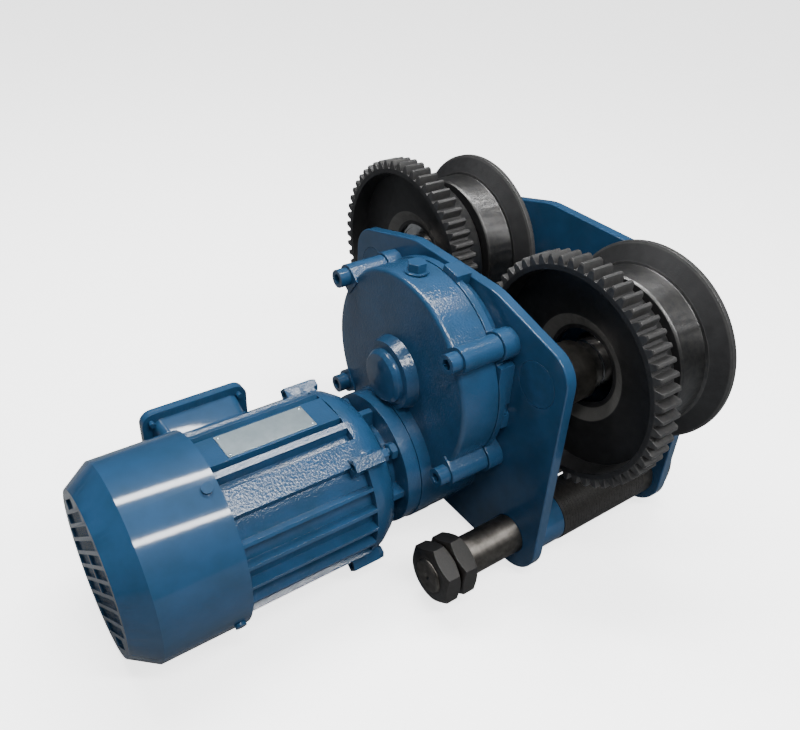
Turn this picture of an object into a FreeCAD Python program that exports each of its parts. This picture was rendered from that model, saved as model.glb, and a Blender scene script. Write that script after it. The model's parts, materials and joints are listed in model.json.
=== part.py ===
"""Electric beam trolley: a push-fit pair of side plates that hang from the lower flange of a
steel beam on four wheels, with a geared motor that drives the two wheels of one side.

X runs along the beam, Y across it towards the idle plate, Z up. The origin lies midway between
the axles, on the centre plane of the beam, on the running surface of its flange. Millimetres.
"""

import FreeCAD, Part
import math
import os
import re
import Sketcher
from FreeCAD import Placement, Rotation, Vector

DIMENSIONS = {
    # wheels and their teeth
    "tread_radius": 67,
    "tread_width": 28,
    "tread_gap": 8,
    "tread_chamfer": 1.5,
    "gear_width": 20,
    "gear_module": 3.25,
    "gear_teeth": 56,
    "pinion_teeth": 15,
    "pinion_drop": 34.805,
    "pressure_angle": 20,
    "tooth_backlash": 0.2,
    "rim_inner_radius": 82.5,
    "rim_draft": 2,
    "web_recess": 16,
    "hub_radius": 44,
    "hub_cone_radius": 35,
    "hub_cone_depth": 5,
    "core_inner_radius": 37,
    "core_outer_radius": 56,
    "core_depth": 15,
    "flange_radius": 84,
    "flange_root_radius": 69,
    "flange_slope": 9,
    "flange_rim": 5.5,
    "flange_recess": 10.5,
    "flange_web_radius": 74,
    # wheel bearings and axles
    "bearing_bore_radius": 15,
    "bearing_outer_radius": 31,
    "bearing_width": 16,
    "bearing_lip": 8,
    "bearing_lip_radius": 27,
    "seal_inner_radius": 19.5,
    "seal_recess": 0.8,
    "running_clearance": 0.08,
    "fixed_clearance": 0.05,
    "side_clearance": 0.3,
    "axle_flange_radius": 19,
    "axle_collar_radius": 24,
    "axle_collar_gap": 12,
    "axle_shoulder_radius": 19.5,
    "circlip_thickness": 1.5,
    "circlip_depth": 0.9,
    "circlip_radius": 19,
    "circlip_opening": 6,
    "axle_tail": 3,
    # side plates
    "plate_thickness": 10,
    "plate_gap": 18,
    "idle_gap": 33.5,
    "plate_edge": 30,
    "plate_top": 120,
    "plate_bottom": 125,
    "plate_flat": 52,
    "plate_shoulder": 96.5,
    "plate_bend_radius": 60,
    "plate_corner_radius": 26,
    "plate_foot_radius": 32,
    # cross rods with their washers and nuts
    "rod_radius": 17,
    "rod_stub": 54,
    "rod_thread_radius": 15,
    "rod_thread_length": 35,
    "rod_end_length": 22,
    "rod_chamfer": 1.6,
    "rod_centre_radius": 3,
    "rod_collar_radius": 24.5,
    "rod_collar_length": 13,
    "rod_clearance": 0.3,
    "sleeve_radius": 24,
    "sleeve_length": 34,
    "washer_radius": 24.6,
    "washer_count": 31,
    "washer_gap": 0.08,
    "nut_across_flats": 46,
    "nut_height": 15.5,
    "nut_spacing": 2,
    "nut_chamfer": 2.6,
    "end_washer_thickness": 3,
    "end_washer_radius": 26,
    # reduction gearbox
    "reducer_module": 2,
    "output_teeth": 70,
    "input_teeth": 14,
    "drum_radius": 89,
    "base_overhang": 1,
    "base_rim": 6.5,
    "base_set_back": 5,
    "lobe_radius": 60,
    "housing_wall": 7,
    "base_depth": 14.9,
    "gasket_thickness": 0.5,
    "gasket_inset": 1.5,
    "cover_depth": 35.2,
    "cover_front": 6,
    "cover_floor": 7,
    "drum_edge_radius": 4,
    "bearing_boss_radius": 33,
    "bearing_boss_face": 30,
    "bearing_boss_height": 9.9,
    "cap_radius": 23.5,
    "cap_height": 6.5,
    "cap_edge_radius": 3,
    "seat_radius": 60.5,
    "seat_height": 11,
    "spigot_radius": 24.9,
    "spigot_length": 4.6,
    "boss_angle": 36,
    "boss_set_out": 5,
    "boss_radius": 10.5,
    "ear_radius": 12.5,
    "rim_lug_height": 5.5,
    "rim_lug_half_width": 9,
    "rim_lug_angle": 80,
    "side_pad_depth": 12,
    "side_pad_set_in": 3,
    "side_pad_top": 40,
    "side_pad_bottom": 2,
    "side_lug_set_in": 1.5,
    "side_lug_top": -3,
    "side_lug_bottom": -25,
    "side_lug_corner": 5,
    "boss_height": 1.4,
    "screw_radius": 5,
    "screw_head_radius": 8,
    "screw_head_height": 10,
    "screw_socket": 8,
    "screw_clearance": 0.3,
    "plug_pad_radius": 10,
    "plug_washer": 1.5,
    "plug_set_back": 16.5,
    "plug_lean": 1.2,
    "plug_across_flats": 14,
    "plug_height": 7,
    # output shaft inside the gearbox
    "front_journal_radius": 12.5,
    "front_bearing_outer": 26,
    "front_bearing_width": 15,
    "gear_seat_radius": 16,
    "shaft_collar_radius": 20,
    "shaft_collar": 4,
    "output_gear_width": 19,
    "output_hub_radius": 27,
    "output_web_inner": 31,
    "output_web_outer": 60,
    "output_web_recess": 4,
    "key_width": 8,
    "key_height": 7,
    "output_seal_width": 7,
    "plate_bore_radius": 36,
    "plate_spigot_length": 9,
    # motor
    "motor_flange_radius": 59.5,
    "motor_flange_thickness": 13,
    "motor_neck_radius": 40,
    "motor_neck_length": 12,
    "motor_bearing_bore": 12.5,
    "shield_bowl_radius": 55,
    "shield_bowl_length": 22,
    "shield_rim_radius": 73.5,
    "shield_length": 28,
    "shield_wall": 6,
    "rib_count": 4,
    "rib_thickness": 6,
    "stud_circle": 50.5,
    "stud_radius": 4,
    "stud_nut_flats": 13,
    "stud_nut_height": 6.5,
    "stud_length": 30,
    "frame_length": 116,
    "frame_bore": 62,
    "frame_root": 66,
    "fin_tip": 75,
    "fin_root_width": 4.4,
    "fin_tip_width": 2.8,
    "land_half_width": 11.5,
    "land_taper": 1.5,
    "land_angle": 37,
    "pad_fin_angle": 19,
    "name_pad_half_width": 15.5,
    "name_pad_height": 72,
    "name_plate_width": 27,
    "name_plate_length": 75,
    "name_plate_thickness": 0.8,
    "name_plate_set_back": 20,
    "lug_radius": 82.5,
    "lug_bolt_circle": 77.2,
    "lug_half_width": 8,
    "lug_length": 13,
    "lug_bolt_radius": 3,
    "lug_head_flats": 10,
    "lug_head_height": 4.5,
    "lug_bolt_bite": 9,
    "stator_bore": 38,
    "stator_length": 78,
    "stator_set_back": 19,
    "winding_length": 11,
    "winding_inner": 41,
    "winding_outer": 57,
    "air_gap": 0.5,
    "rotor_shaft_radius": 15,
    "rear_shield_thickness": 12,
    "rear_bearing_bore": 10,
    "rear_bearing_outer": 23.5,
    "rear_bearing_width": 14,
    "rear_hub_radius": 30,
    "fan_hub_radius": 15,
    "fan_bore_radius": 9,
    "fan_radius": 68,
    "fan_plate": 2.5,
    "fan_width": 28,
    "fan_blades": 8,
    "fan_blade_thickness": 2.5,
    "fan_set_back": 12,
    "cover_radius": 80,
    "cover_overlap": 3,
    "cover_length": 68,
    "cover_cone_length": 20,
    "cover_end_radius": 66,
    "cover_sheet": 1.5,
    "slot_field_radius": 60,
    "slot_width": 7.6,
    "slot_pitch": 10.8,
    "slot_angle": 42,
    "slot_rib_width": 6,
    "slot_rib_reach": 16,
    "cover_screw_angle": 64,
    "cover_screw_radius": 2.5,
    "cover_screw_head": 4.5,
    "cover_screw_head_height": 2.8,
    "cover_screw_bite": 4.5,
    "cover_lug_half_width": 7,
    "cover_lug_clearance": 0.4,
    # terminal box
    "box_face": 110,
    "box_lid_thickness": 5,
    "box_lid_length": 96,
    "box_lid_height": 88,
    "box_corner_radius": 11,
    "box_flange": 4,
    "box_seat": 78,
    "box_length": 71,
    "box_height": 66,
    "box_wall": 4,
    "box_centre_back": 75,
    "box_flare": 4,
    "box_inner_corner": 3,
    "lid_edge_radius": 1.5,
    "wire_way_length": 28,
    "wire_way_height": 18,
    "box_screw_inset": 8,
    "box_screw_bite": 5,
    "box_screw_head_height": 2.2,
    "box_screw_radius": 2.5,
    "box_screw_head": 4.4,
    "entry_radius": 8,
    "entry_boss_radius": 11,
    "entry_boss_length": 4,
    "board_length": 44,
    "board_height": 34,
    "board_thickness": 7,
    "board_stud_radius": 2,
    "board_stud_height": 7,
    "board_stud_pitch": 13.6,
    "board_row_pitch": 17,
}

PLACES = {
    # stations across the beam
    "drive_tread_near": "-tread_gap / 2",
    "drive_tread_far": "drive_tread_near - tread_width",
    "gear_outer": "drive_tread_far - gear_width",
    "drive_plate_in": "gear_outer - plate_gap",
    "drive_plate_out": "drive_plate_in - plate_thickness",
    "idle_tread_near": "tread_gap / 2",
    "idle_tread_far": "idle_tread_near + tread_width",
    "flange_outer": "idle_tread_far + flange_slope + flange_rim",
    "idle_plate_in": "flange_outer + idle_gap",
    "idle_plate_out": "idle_plate_in + plate_thickness",
    # axes
    "axle_z": "tread_radius",
    "gear_pitch_radius": "gear_module * gear_teeth / 2",
    "gear_tip_radius": "gear_pitch_radius + gear_module",
    "mesh_distance": "gear_module * (gear_teeth + pinion_teeth) / 2",
    "axle_x": "sqrt(mesh_distance ^ 2 - pinion_drop ^ 2)",
    "pinion_z": "axle_z - pinion_drop",
    "reducer_distance": "reducer_module * (output_teeth + input_teeth) / 2",
    "motor_z": "pinion_z - reducer_distance",
    "base_radius": "drum_radius + base_overhang",
    "base_back_radius": "drum_radius - base_set_back",
    "rim_lug_reach": "drum_radius + rim_lug_height",
    "side_pad_outer": "drum_radius - side_pad_set_in",
    "side_pad_inner": "side_pad_outer - side_pad_depth",
    "side_lug_outer": "drum_radius - side_lug_set_in",
    "boss_reach": "drum_radius + boss_set_out",
    "boss_x": "boss_reach * cos(boss_angle)",
    "boss_z": "boss_reach * sin(boss_angle)",
    # wheel bearing seats, measured from the inner end of the tread
    "web_face": "gear_outer + web_recess",
    "drive_seat_end": "drive_tread_near - bearing_lip",
    "drive_seat_start": "drive_seat_end - bearing_width - side_clearance",
    "idle_web_face": "flange_outer - flange_recess",
    "idle_seat_end": "idle_tread_near + bearing_lip",
    "idle_seat_start": "idle_seat_end + bearing_width + side_clearance",
    # cross rods
    "washer_start": "drive_plate_in + sleeve_length",
    "washer_end": "idle_plate_in - rod_collar_length",
    "plate_half_width": "axle_x + plate_edge",
    "rod_x": "plate_half_width - plate_foot_radius",
    "rod_z": "plate_foot_radius - plate_bottom",
    "rod_front": "drive_plate_out - rod_stub",
    "rod_front_end": "rod_front - rod_thread_length",
    "rod_back_end": "idle_plate_out + rod_end_length",
    # gearbox stations
    "base_front": "drive_plate_out - base_depth",
    "gasket_front": "base_front - gasket_thickness",
    "cover_face": "gasket_front - cover_depth",
    "cover_inside": "cover_face + cover_front",
    "base_inside": "drive_plate_out - cover_floor",
    "boss_face": "cover_face - bearing_boss_height",
    "seat_face": "cover_face - seat_height",
    "front_bearing_end": "cover_inside + 3",
    "front_bearing_start": "front_bearing_end - front_bearing_width",
    "output_gear_start": "cover_inside + 6.5",
    "output_gear_end": "output_gear_start + output_gear_width",
    "rear_bearing_start": "output_gear_end + shaft_collar + side_clearance",
    "rear_bearing_end": "rear_bearing_start + bearing_width",
    "seal_end": "rear_bearing_end + output_seal_width",
    # motor stations
    "motor_seat": "seat_face - side_clearance",
    "flange_back": "motor_seat - motor_flange_thickness",
    "neck_end": "flange_back - motor_neck_length",
    "frame_front": "neck_end - shield_length",
    "frame_back": "frame_front - frame_length",
    "rear_shield_back": "frame_back - rear_shield_thickness",
    "motor_bearing_end": "flange_back + 2",
    "motor_bearing_start": "motor_bearing_end - front_bearing_width",
    "rear_bearing_front": "frame_back + 5",
    "rear_bearing_back": "rear_bearing_front - rear_bearing_width",
    "stator_front": "frame_front - stator_set_back",
    "stator_back": "stator_front - stator_length",
    "fan_front": "rear_shield_back - fan_set_back",
    "fan_back": "fan_front - fan_width",
    "cover_front_edge": "frame_back + cover_overlap",
    "cover_bend": "cover_front_edge - cover_length",
    "cover_end": "cover_bend - cover_cone_length",
    "box_flange_face": "box_face - box_lid_thickness",
    "box_flange_back": "box_flange_face - box_flange",
    "box_centre": "frame_front - box_centre_back",
    "stud_back": "flange_back - stud_nut_height - 3",
    "stud_front": "stud_back + stud_length",
}

SIDES = {"left": -1, "right": 1}

doc = FreeCAD.newDocument("electric_beam_trolley")
nodes = {}


def bound(text):
    """Write an expression with the sheet of each named size in front of its alias."""

    def with_sheet(match):
        word = match.group()
        if word in DIMENSIONS:
            return "sizes." + word
        return "places." + word if word in PLACES else word

    return re.sub(r"[a-z][a-z_]+", with_sheet, str(text))


def make_sheets():
    """Put the driving sizes in one sheet and the places worked out from them in another."""
    sizes = doc.addObject("Spreadsheet::Sheet", "sizes")
    for row, (alias, number) in enumerate(DIMENSIONS.items(), 1):
        sizes.set(f"A{row}", alias)
        sizes.set(f"B{row}", str(number))
        sizes.setAlias(f"B{row}", alias)
    doc.recompute()
    places = doc.addObject("Spreadsheet::Sheet", "places")
    for row, alias in enumerate(PLACES, 1):
        places.set(f"A{row}", alias)
        places.setAlias(f"B{row}", alias)
    for row, (alias, formula) in enumerate(PLACES.items(), 1):
        places.set(f"B{row}", "=" + re.sub(r"places\.", "", bound(formula)))
    doc.recompute()
    return sizes


def value(text):
    """The number that an expression of named sizes comes to."""
    return float(sheet.evalExpression(bound(text)))


def bind(thing, name, text):
    """Bind one property of an object to an expression of named sizes."""
    thing.setExpression(name, bound(text))


def place(thing, x="0", y="0", z="0"):
    """Bind where an object stands."""
    for axis, text in (("x", x), ("y", y), ("z", z)):
        if str(text) != "0":
            bind(thing, "Placement.Base." + axis, text)


def keep(label, thing):
    """Name a finished sub-part, which becomes the node of that name."""
    thing.Label = label
    nodes[label] = thing
    return thing


def new_body(label, x="0", y="0", z="0"):
    """Start a body at its own place."""
    body = doc.addObject("PartDesign::Body", label + "_body")
    place(body, x, y, z)
    return keep(label, body)


def origin_part(body, role):
    """The plane or axis of a body's own origin that has this role."""
    return next(f for f in body.Origin.OriginFeatures if f.Role == role)


def new_sketch(body, role, offset="0"):
    """Start a sketch on one plane of the body's origin, moved along its normal."""
    sketch = body.newObject("Sketcher::SketchObject", body.Name + "_sketch")
    sketch.AttachmentSupport = [(origin_part(body, role), "")]
    sketch.MapMode = "FlatFace"
    if str(offset) != "0":
        bind(sketch, "AttachmentOffset.Base.z", offset)
    return sketch


def fix_point(sketch, geometry, end, x, y):
    """Hold one point of a sketch at a place given by two expressions."""
    for kind, text, axis in (("DistanceX", x, -2), ("DistanceY", y, -1)):
        if str(text) == "0":
            sketch.addConstraint(Sketcher.Constraint("PointOnObject", geometry, end, axis))
        else:
            rule = Sketcher.Constraint(kind, -1, 1, geometry, end, value(text))
            sketch.setExpression(f"Constraints[{sketch.addConstraint(rule)}]", bound(text))


def draw_polygon(sketch, corners):
    """Draw a closed run of straight lines through corners given as pairs of expressions."""
    points = [Vector(value(x), value(y), 0) for x, y in corners]
    first = sketch.GeometryCount
    count = len(points)
    for k in range(count):
        sketch.addGeometry(Part.LineSegment(points[k], points[(k + 1) % count]), False)
    for k in range(count):
        after = first + (k + 1) % count
        sketch.addConstraint(Sketcher.Constraint("Coincident", first + k, 2, after, 1))
    for k, (x, y) in enumerate(corners):
        fix_point(sketch, first + k, 1, x, y)


def draw_circle(sketch, x, y, radius):
    """Draw a circle whose centre and radius are expressions."""
    centre = Vector(value(x), value(y), 0)
    circle = sketch.addGeometry(Part.Circle(centre, Vector(0, 0, 1), value(radius)), False)
    fix_point(sketch, circle, 3, x, y)
    rule = sketch.addConstraint(Sketcher.Constraint("Radius", circle, value(radius)))
    sketch.setExpression(f"Constraints[{rule}]", bound(radius))


def box_corners(x0, y0, x1, y1):
    """The corners of an upright rectangle between two opposite ones."""
    return [(x0, y0), (x1, y0), (x1, y1), (x0, y1)]


def turn(body, corners):
    """Turn a profile of radius and Y about the body's own Y axis."""
    sketch = new_sketch(body, "XY_Plane")
    draw_polygon(sketch, corners)
    turned = body.newObject("PartDesign::Revolution", body.Name + "_turned")
    turned.Profile = sketch
    turned.ReferenceAxis = (sketch, ["V_Axis"])
    turned.Angle = 360
    return turned


def across(body, kind, start, end, circles=(), polygons=()):
    """Pad or pocket circles and polygons of the XZ plane from one Y to a larger one."""
    sketch = new_sketch(body, "XZ_Plane", f"-({start})")
    for circle in circles:
        draw_circle(sketch, *circle)
    for polygon in polygons:
        draw_polygon(sketch, polygon)
    feature = body.newObject("PartDesign::" + kind, body.Name + "_" + kind.lower())
    feature.Profile = sketch
    feature.Reversed = kind == "Pad"
    bind(feature, "Length", f"({end}) - ({start})")
    return feature


def add(body, start, end, circles=(), polygons=()):
    """Add material between two stations across the beam."""
    return across(body, "Pad", start, end, circles, polygons)


def cut(body, start, end, circles=(), polygons=()):
    """Take material away between two stations across the beam."""
    return across(body, "Pocket", start, end, circles, polygons)


def repeat_round(body, feature, count, angle=360):
    """Repeat a feature about the body's own Y axis."""
    pattern = body.newObject("PartDesign::PolarPattern", body.Name + "_pattern")
    pattern.Originals = [feature]
    pattern.Axis = (origin_part(body, "Y_Axis"), [""])
    pattern.Angle = angle
    if isinstance(count, str):
        bind(pattern, "Occurrences", count)
    else:
        pattern.Occurrences = count
    body.Tip = pattern
    return pattern


def round_edges(body, kind, size, chosen):
    """Fillet or chamfer the edges of the body so far that a test chooses."""
    doc.recompute()
    base = body.Tip
    names = [f"Edge{k}" for k, edge in enumerate(base.Shape.Edges, 1) if chosen(edge)]
    feature = body.newObject("PartDesign::" + kind, body.Name + "_" + kind.lower())
    feature.Base = (base, names)
    bind(feature, "Size" if kind == "Chamfer" else "Radius", size)
    return feature


def is_near(number, text, slack=0.01):
    """True where a measured number is that of an expression."""
    return abs(number - value(text)) < slack


def upright_at(x, z):
    """A test for straight edges that run across the beam at one point of the XZ plane."""

    def test(edge):
        ends = [vertex.Point for vertex in edge.Vertexes]
        return len(ends) == 2 and all(is_near(p.x, x) and is_near(p.z, z) for p in ends)

    return test


def ring_at(radius, y, x="0", z="0"):
    """A test for round edges of one radius about an axis across the beam, at one station."""

    def test(edge):
        curve = edge.Curve
        if curve.TypeId != "Part::GeomCircle" or not is_near(curve.Radius, radius):
            return False
        centre = curve.Center
        return is_near(centre.y, y) and is_near(centre.x, x) and is_near(centre.z, z)

    return test


def loose_shape(label, shape, x="0", z="0"):
    """A sub-part whose shape is worked out here, placed at an axis across the beam."""
    feature = doc.addObject("Part::Feature", label + "_shape")
    feature.Shape = shape
    axis = Placement(Vector(value(x), 0, value(z)), Rotation())
    feature.Placement = axis.multiply(shape.Placement)
    return keep(label, feature)


def less(label, base, tool):
    """Cut one object out of another."""
    result = doc.addObject("Part::Cut", label + "_cut")
    result.Base = base
    result.Tool = tool
    return keep(label, result)


def hexagon(across_flats):
    """A hexagonal face in the XZ plane, with corners up and down."""
    reach = across_flats / math.sqrt(3)
    turns = [math.radians(60 * k + 30) for k in range(6)]
    corners = [Vector(reach * math.cos(t), 0, reach * math.sin(t)) for t in turns]
    return Part.Face(Part.makePolygon(corners + corners[:1]))


def cylinder(radius, start, end, x=0.0, z=0.0):
    """A solid cylinder across the beam."""
    return Part.makeCylinder(radius, end - start, Vector(x, start, z), Vector(0, 1, 0))


def hex_prism(across_flats, start, end, chamfer=0.0):
    """A hexagonal prism across the beam, its corners cut back by a cone at both ends."""
    body = hexagon(across_flats).extrude(Vector(0, end - start, 0))
    body.translate(Vector(0, start, 0))
    if not chamfer:
        return body
    corner = across_flats / math.sqrt(3)
    small = corner - chamfer * 1.7
    middle = (start + end) / 2
    half = (end - start) / 2
    grow = small + half * 1.7
    front = Part.makeCone(small, grow, half, Vector(0, start, 0), Vector(0, 1, 0))
    back = Part.makeCone(grow, small, half, Vector(0, middle, 0), Vector(0, 1, 0))
    return body.common(front.fuse(back))


def involute(angle):
    """The involute function of an angle in radians."""
    return math.tan(angle) - angle


def tooth_spaces(module, teeth, start, end, phase):
    """Prisms that fill the spaces between the teeth of a spur gear on the Y axis.

    Phase is the direction, in degrees from +X towards +Z, of the middle of one space.
    """
    pressure = math.radians(value("pressure_angle"))
    pitch = module * teeth / 2
    base = pitch * math.cos(pressure)
    root = pitch - 1.25 * module
    tip = pitch + 1.05 * module
    beyond = tip + module
    slack = value("tooth_backlash") / (2 * pitch)

    def half_space(radius):
        spread = involute(pressure) - involute(math.acos(min(1.0, base / radius)))
        return math.pi / (2 * teeth) - spread + slack / 2

    def point(radius, side):
        angle = side * half_space(min(max(radius, base), tip)) + math.radians(phase)
        return Vector(radius * math.cos(angle), start, radius * math.sin(angle))

    flank_start = max(root, base + 0.01 * module)
    flank_middle = (flank_start + tip) / 2

    def flank(side):
        corners = [point(r, side) for r in (flank_start, flank_middle, tip)]
        edges = [Part.Arc(*corners).toShape()]
        edges.append(Part.LineSegment(corners[-1], point(beyond, side)).toShape())
        if flank_start > root:
            edges.insert(0, Part.LineSegment(point(root, side), corners[0]).toShape())
        return edges

    bottom = Part.LineSegment(point(root, -1), point(root, 1)).toShape()
    top = Part.LineSegment(point(beyond, -1), point(beyond, 1)).toShape()
    outline = Part.Wire(Part.__sortEdges__([bottom, top] + flank(-1) + flank(1)))
    prism = Part.Face(outline).extrude(Vector(0, end - start, 0))
    copies = []
    for k in range(teeth):
        copy = prism.copy()
        copy.rotate(Vector(0, 0, 0), Vector(0, 1, 0), -360.0 * k / teeth)
        copies.append(copy)
    return Part.makeCompound(copies)


def cut_teeth(label, blank, module, teeth, start, end, phase, x="0", z="0"):
    """Cut a ring of tooth spaces out of a turned blank."""
    tool = doc.addObject("Part::Feature", label + "_spaces")
    margin = 0.5
    shape = tooth_spaces(value(module), round(value(teeth)), value(start) - margin,
                         value(end) + margin, phase)
    tool.Shape = shape
    tool.Placement = Placement(Vector(value(x), 0, value(z)), Rotation())
    return less(label, blank, tool)


def mesh_direction(side):
    """Direction from the output pinion to the drive wheel of one side, in degrees."""
    return math.degrees(math.atan2(value("axle_z - pinion_z"), side * value("axle_x")))


def make_side_plates():
    """Two steel plates of one outline, bored for the axles, the rods and the gearbox."""
    outline = [
        ("-plate_flat", "plate_top"),
        ("plate_flat", "plate_top"),
        ("plate_half_width", "plate_shoulder"),
        ("plate_half_width", "-plate_bottom"),
        ("-plate_half_width", "-plate_bottom"),
        ("-plate_half_width", "plate_shoulder"),
    ]
    rounds = (
        ("plate_bend_radius", "plate_flat", "plate_top"),
        ("plate_corner_radius", "plate_half_width", "plate_shoulder"),
        ("plate_foot_radius", "plate_half_width", "-plate_bottom"),
    )
    plates = (
        ("drive_side_plate", "drive_plate_out", "drive_plate_in", "rod_radius"),
        ("idle_side_plate", "idle_plate_in", "idle_plate_out", "rod_thread_radius"),
    )
    for label, start, end, rod_bore in plates:
        body = new_body(label)
        add(body, start, end, polygons=[outline])
        for radius, x, z in rounds:
            for sign in ("", "-"):
                round_edges(body, "Fillet", radius, upright_at(f"{sign}{x}", z))
        holes = []
        for sign in ("", "-"):
            holes.append((f"{sign}axle_x", "axle_z", "axle_flange_radius + fixed_clearance"))
            holes.append((f"{sign}rod_x", "rod_z", f"{rod_bore} + rod_clearance"))
        if label == "drive_side_plate":
            holes.append(("0", "pinion_z", "plate_bore_radius"))
            for sign_x, sign_z in boss_signs():
                x = f"{sign_x} * boss_x"
                z = f"pinion_z + {sign_z} * boss_z"
                holes.append((x, z, "screw_radius + screw_clearance"))
        cut(body, start, end, circles=holes)
        round_edges(body, "Chamfer", "tread_chamfer / 2", plate_outer_edges(start, end))


def plate_outer_edges(start, end):
    """A test for the edges of a plate's outline on both faces."""

    def test(edge):
        bounds = edge.BoundBox
        on_face = bounds.YLength < 0.01 and (is_near(bounds.YMin, start) or is_near(bounds.YMin, end))
        return on_face and not (edge.Closed and edge.Curve.TypeId == "Part::GeomCircle")

    return test


def boss_signs():
    """The four corners at which the gearbox is screwed to its plate."""
    return [(x, z) for x in (-1, 1) for z in (-1, 1)]


def make_rods():
    """Two cross rods with the welded sleeves, spacer washers and nuts that they carry."""
    chamfer = "rod_chamfer"
    for side, sign in SIDES.items():
        rod = new_body(f"cross_rod_{side}", f"{sign} * rod_x", "0", "rod_z")
        turn(rod, [
            ("0", "rod_front_end + rod_centre_radius"),
            ("rod_centre_radius", "rod_front_end"),
            (f"rod_thread_radius - {chamfer}", "rod_front_end"),
            ("rod_thread_radius", f"rod_front_end + {chamfer}"),
            ("rod_thread_radius", "rod_front"),
            (f"rod_radius - {chamfer}", "rod_front"),
            ("rod_radius", f"rod_front + {chamfer}"),
            ("rod_radius", "washer_end"),
            ("rod_collar_radius", "washer_end"),
            ("rod_collar_radius", "idle_plate_in"),
            ("rod_thread_radius", "idle_plate_in"),
            ("rod_thread_radius", f"rod_back_end - {chamfer}"),
            (f"rod_thread_radius - {chamfer}", "rod_back_end"),
            ("0", "rod_back_end"),
        ])
        sleeve = new_body(f"rod_sleeve_{side}", f"{sign} * rod_x", "0", "rod_z")
        turn(sleeve, box_corners("rod_radius + rod_clearance", "drive_plate_in",
                                 "sleeve_radius", "washer_start"))
        washers = Part.makeCompound(spacer_washers())
        loose_shape(f"spacer_washers_{side}", washers, f"{sign} * rod_x", "rod_z")
    make_nut_pair("adjusting_nuts", "rod_front - nut_height", "rod_front")
    make_nut_pair("lock_nuts", "rod_front - 2 * nut_height - nut_spacing",
                  "rod_front - nut_height - nut_spacing")
    make_nut_pair("rod_end_nuts", "idle_plate_out + end_washer_thickness",
                  "idle_plate_out + end_washer_thickness + nut_height")
    start = value("idle_plate_out")
    end = start + value("end_washer_thickness")
    bore = value("rod_thread_radius + fixed_clearance")
    ring = cylinder(value("end_washer_radius"), start, end).cut(cylinder(bore, start, end))
    loose_shape("rod_end_washers", on_both_rods(ring))


def spacer_washers():
    """The flat washers of one rod, side by side with a hair of air between them."""
    count = round(value("washer_count"))
    start = value("washer_start")
    pitch = (value("washer_end") - start) / count
    gap = value("washer_gap")
    rings = []
    for k in range(count):
        front = start + k * pitch + gap / 2
        back = start + (k + 1) * pitch - gap / 2
        bore = cylinder(value("rod_radius + rod_clearance"), front, back)
        rings.append(cylinder(value("washer_radius"), front, back).cut(bore))
    return rings


def on_both_rods(shape):
    """Two copies of a shape made on the Y axis, one on each cross rod."""
    copies = []
    for sign in SIDES.values():
        copy = shape.copy()
        copy.translate(Vector(sign * value("rod_x"), 0, value("rod_z")))
        copies.append(copy)
    return Part.makeCompound(copies)


def make_nut_pair(label, start, end):
    """The same hexagon nut on both rods."""
    nut = hex_prism(value("nut_across_flats"), value(start), value(end), value("nut_chamfer"))
    bore = cylinder(value("rod_thread_radius + fixed_clearance"), value(start), value(end))
    loose_shape(label, on_both_rods(nut.cut(bore)))


def make_axles():
    """Four stub axles welded into the plates, each with a circlip at its inner end."""
    rows = (
        ("drive", "drive_plate_out", "drive_plate_in", "gear_outer + axle_collar_gap",
         "drive_seat_start", "drive_seat_end", 1),
        ("idle", "idle_plate_out", "idle_plate_in", "flange_outer",
         "idle_seat_start", "idle_seat_end", -1),
    )
    for name, outer, inner, collar_end, seat_start, seat_end, way in rows:
        shoulder = f"{seat_start} - {way} * side_clearance"
        clip_start = f"{seat_end} + {way} * side_clearance"
        clip_end = f"{clip_start} + {way} * circlip_thickness"
        end = f"{clip_end} + {way} * axle_tail"
        for side, sign in SIDES.items():
            axle = new_body(f"{name}_axle_{side}", f"{sign} * axle_x", "0", "axle_z")
            turn(axle, [
                ("0", outer),
                ("axle_flange_radius", outer),
                ("axle_flange_radius", inner),
                ("axle_collar_radius", inner),
                ("axle_collar_radius", collar_end),
                ("axle_shoulder_radius", collar_end),
                ("axle_shoulder_radius", shoulder),
                ("bearing_bore_radius", shoulder),
                ("bearing_bore_radius", clip_start),
                ("bearing_bore_radius - circlip_depth", clip_start),
                ("bearing_bore_radius - circlip_depth", clip_end),
                ("bearing_bore_radius", clip_end),
                ("bearing_bore_radius", f"{end} - {way}"),
                ("bearing_bore_radius - 1", end),
                ("0", end),
            ])
    clips = []
    for name, outer, inner, collar_end, seat_start, seat_end, way in rows:
        first = value(f"{seat_end} + {way} * side_clearance")
        second = first + way * value("circlip_thickness")
        clips.append(circlip(min(first, second), max(first, second)))
    both = []
    for clip in clips:
        for sign in SIDES.values():
            copy = clip.copy()
            copy.translate(Vector(sign * value("axle_x"), 0, value("axle_z")))
            both.append(copy)
    loose_shape("axle_circlips", Part.makeCompound(both))


def circlip(start, end):
    """An open spring ring in the groove of a stub axle."""
    inner = value("bearing_bore_radius - circlip_depth + fixed_clearance")
    ring = cylinder(value("circlip_radius"), start, end).cut(cylinder(inner, start, end))
    opening = value("circlip_opening")
    gap = Part.makeBox(opening, end - start, value("circlip_radius"), Vector(-opening / 2, start, 0))
    return ring.cut(gap)


def bearing_corners(bore, outer, start, end):
    """Half section of a sealed ball bearing, with its shields set back from both faces."""
    inner = f"{bore} + ({outer} - {bore}) * 0.28"
    rim = f"{outer} - ({outer} - {bore}) * 0.22"
    return [
        (bore, start),
        (inner, start),
        (inner, f"{start} + seal_recess"),
        (rim, f"{start} + seal_recess"),
        (rim, start),
        (outer, start),
        (outer, end),
        (rim, end),
        (rim, f"{end} - seal_recess"),
        (inner, f"{end} - seal_recess"),
        (inner, end),
        (bore, end),
    ]


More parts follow.
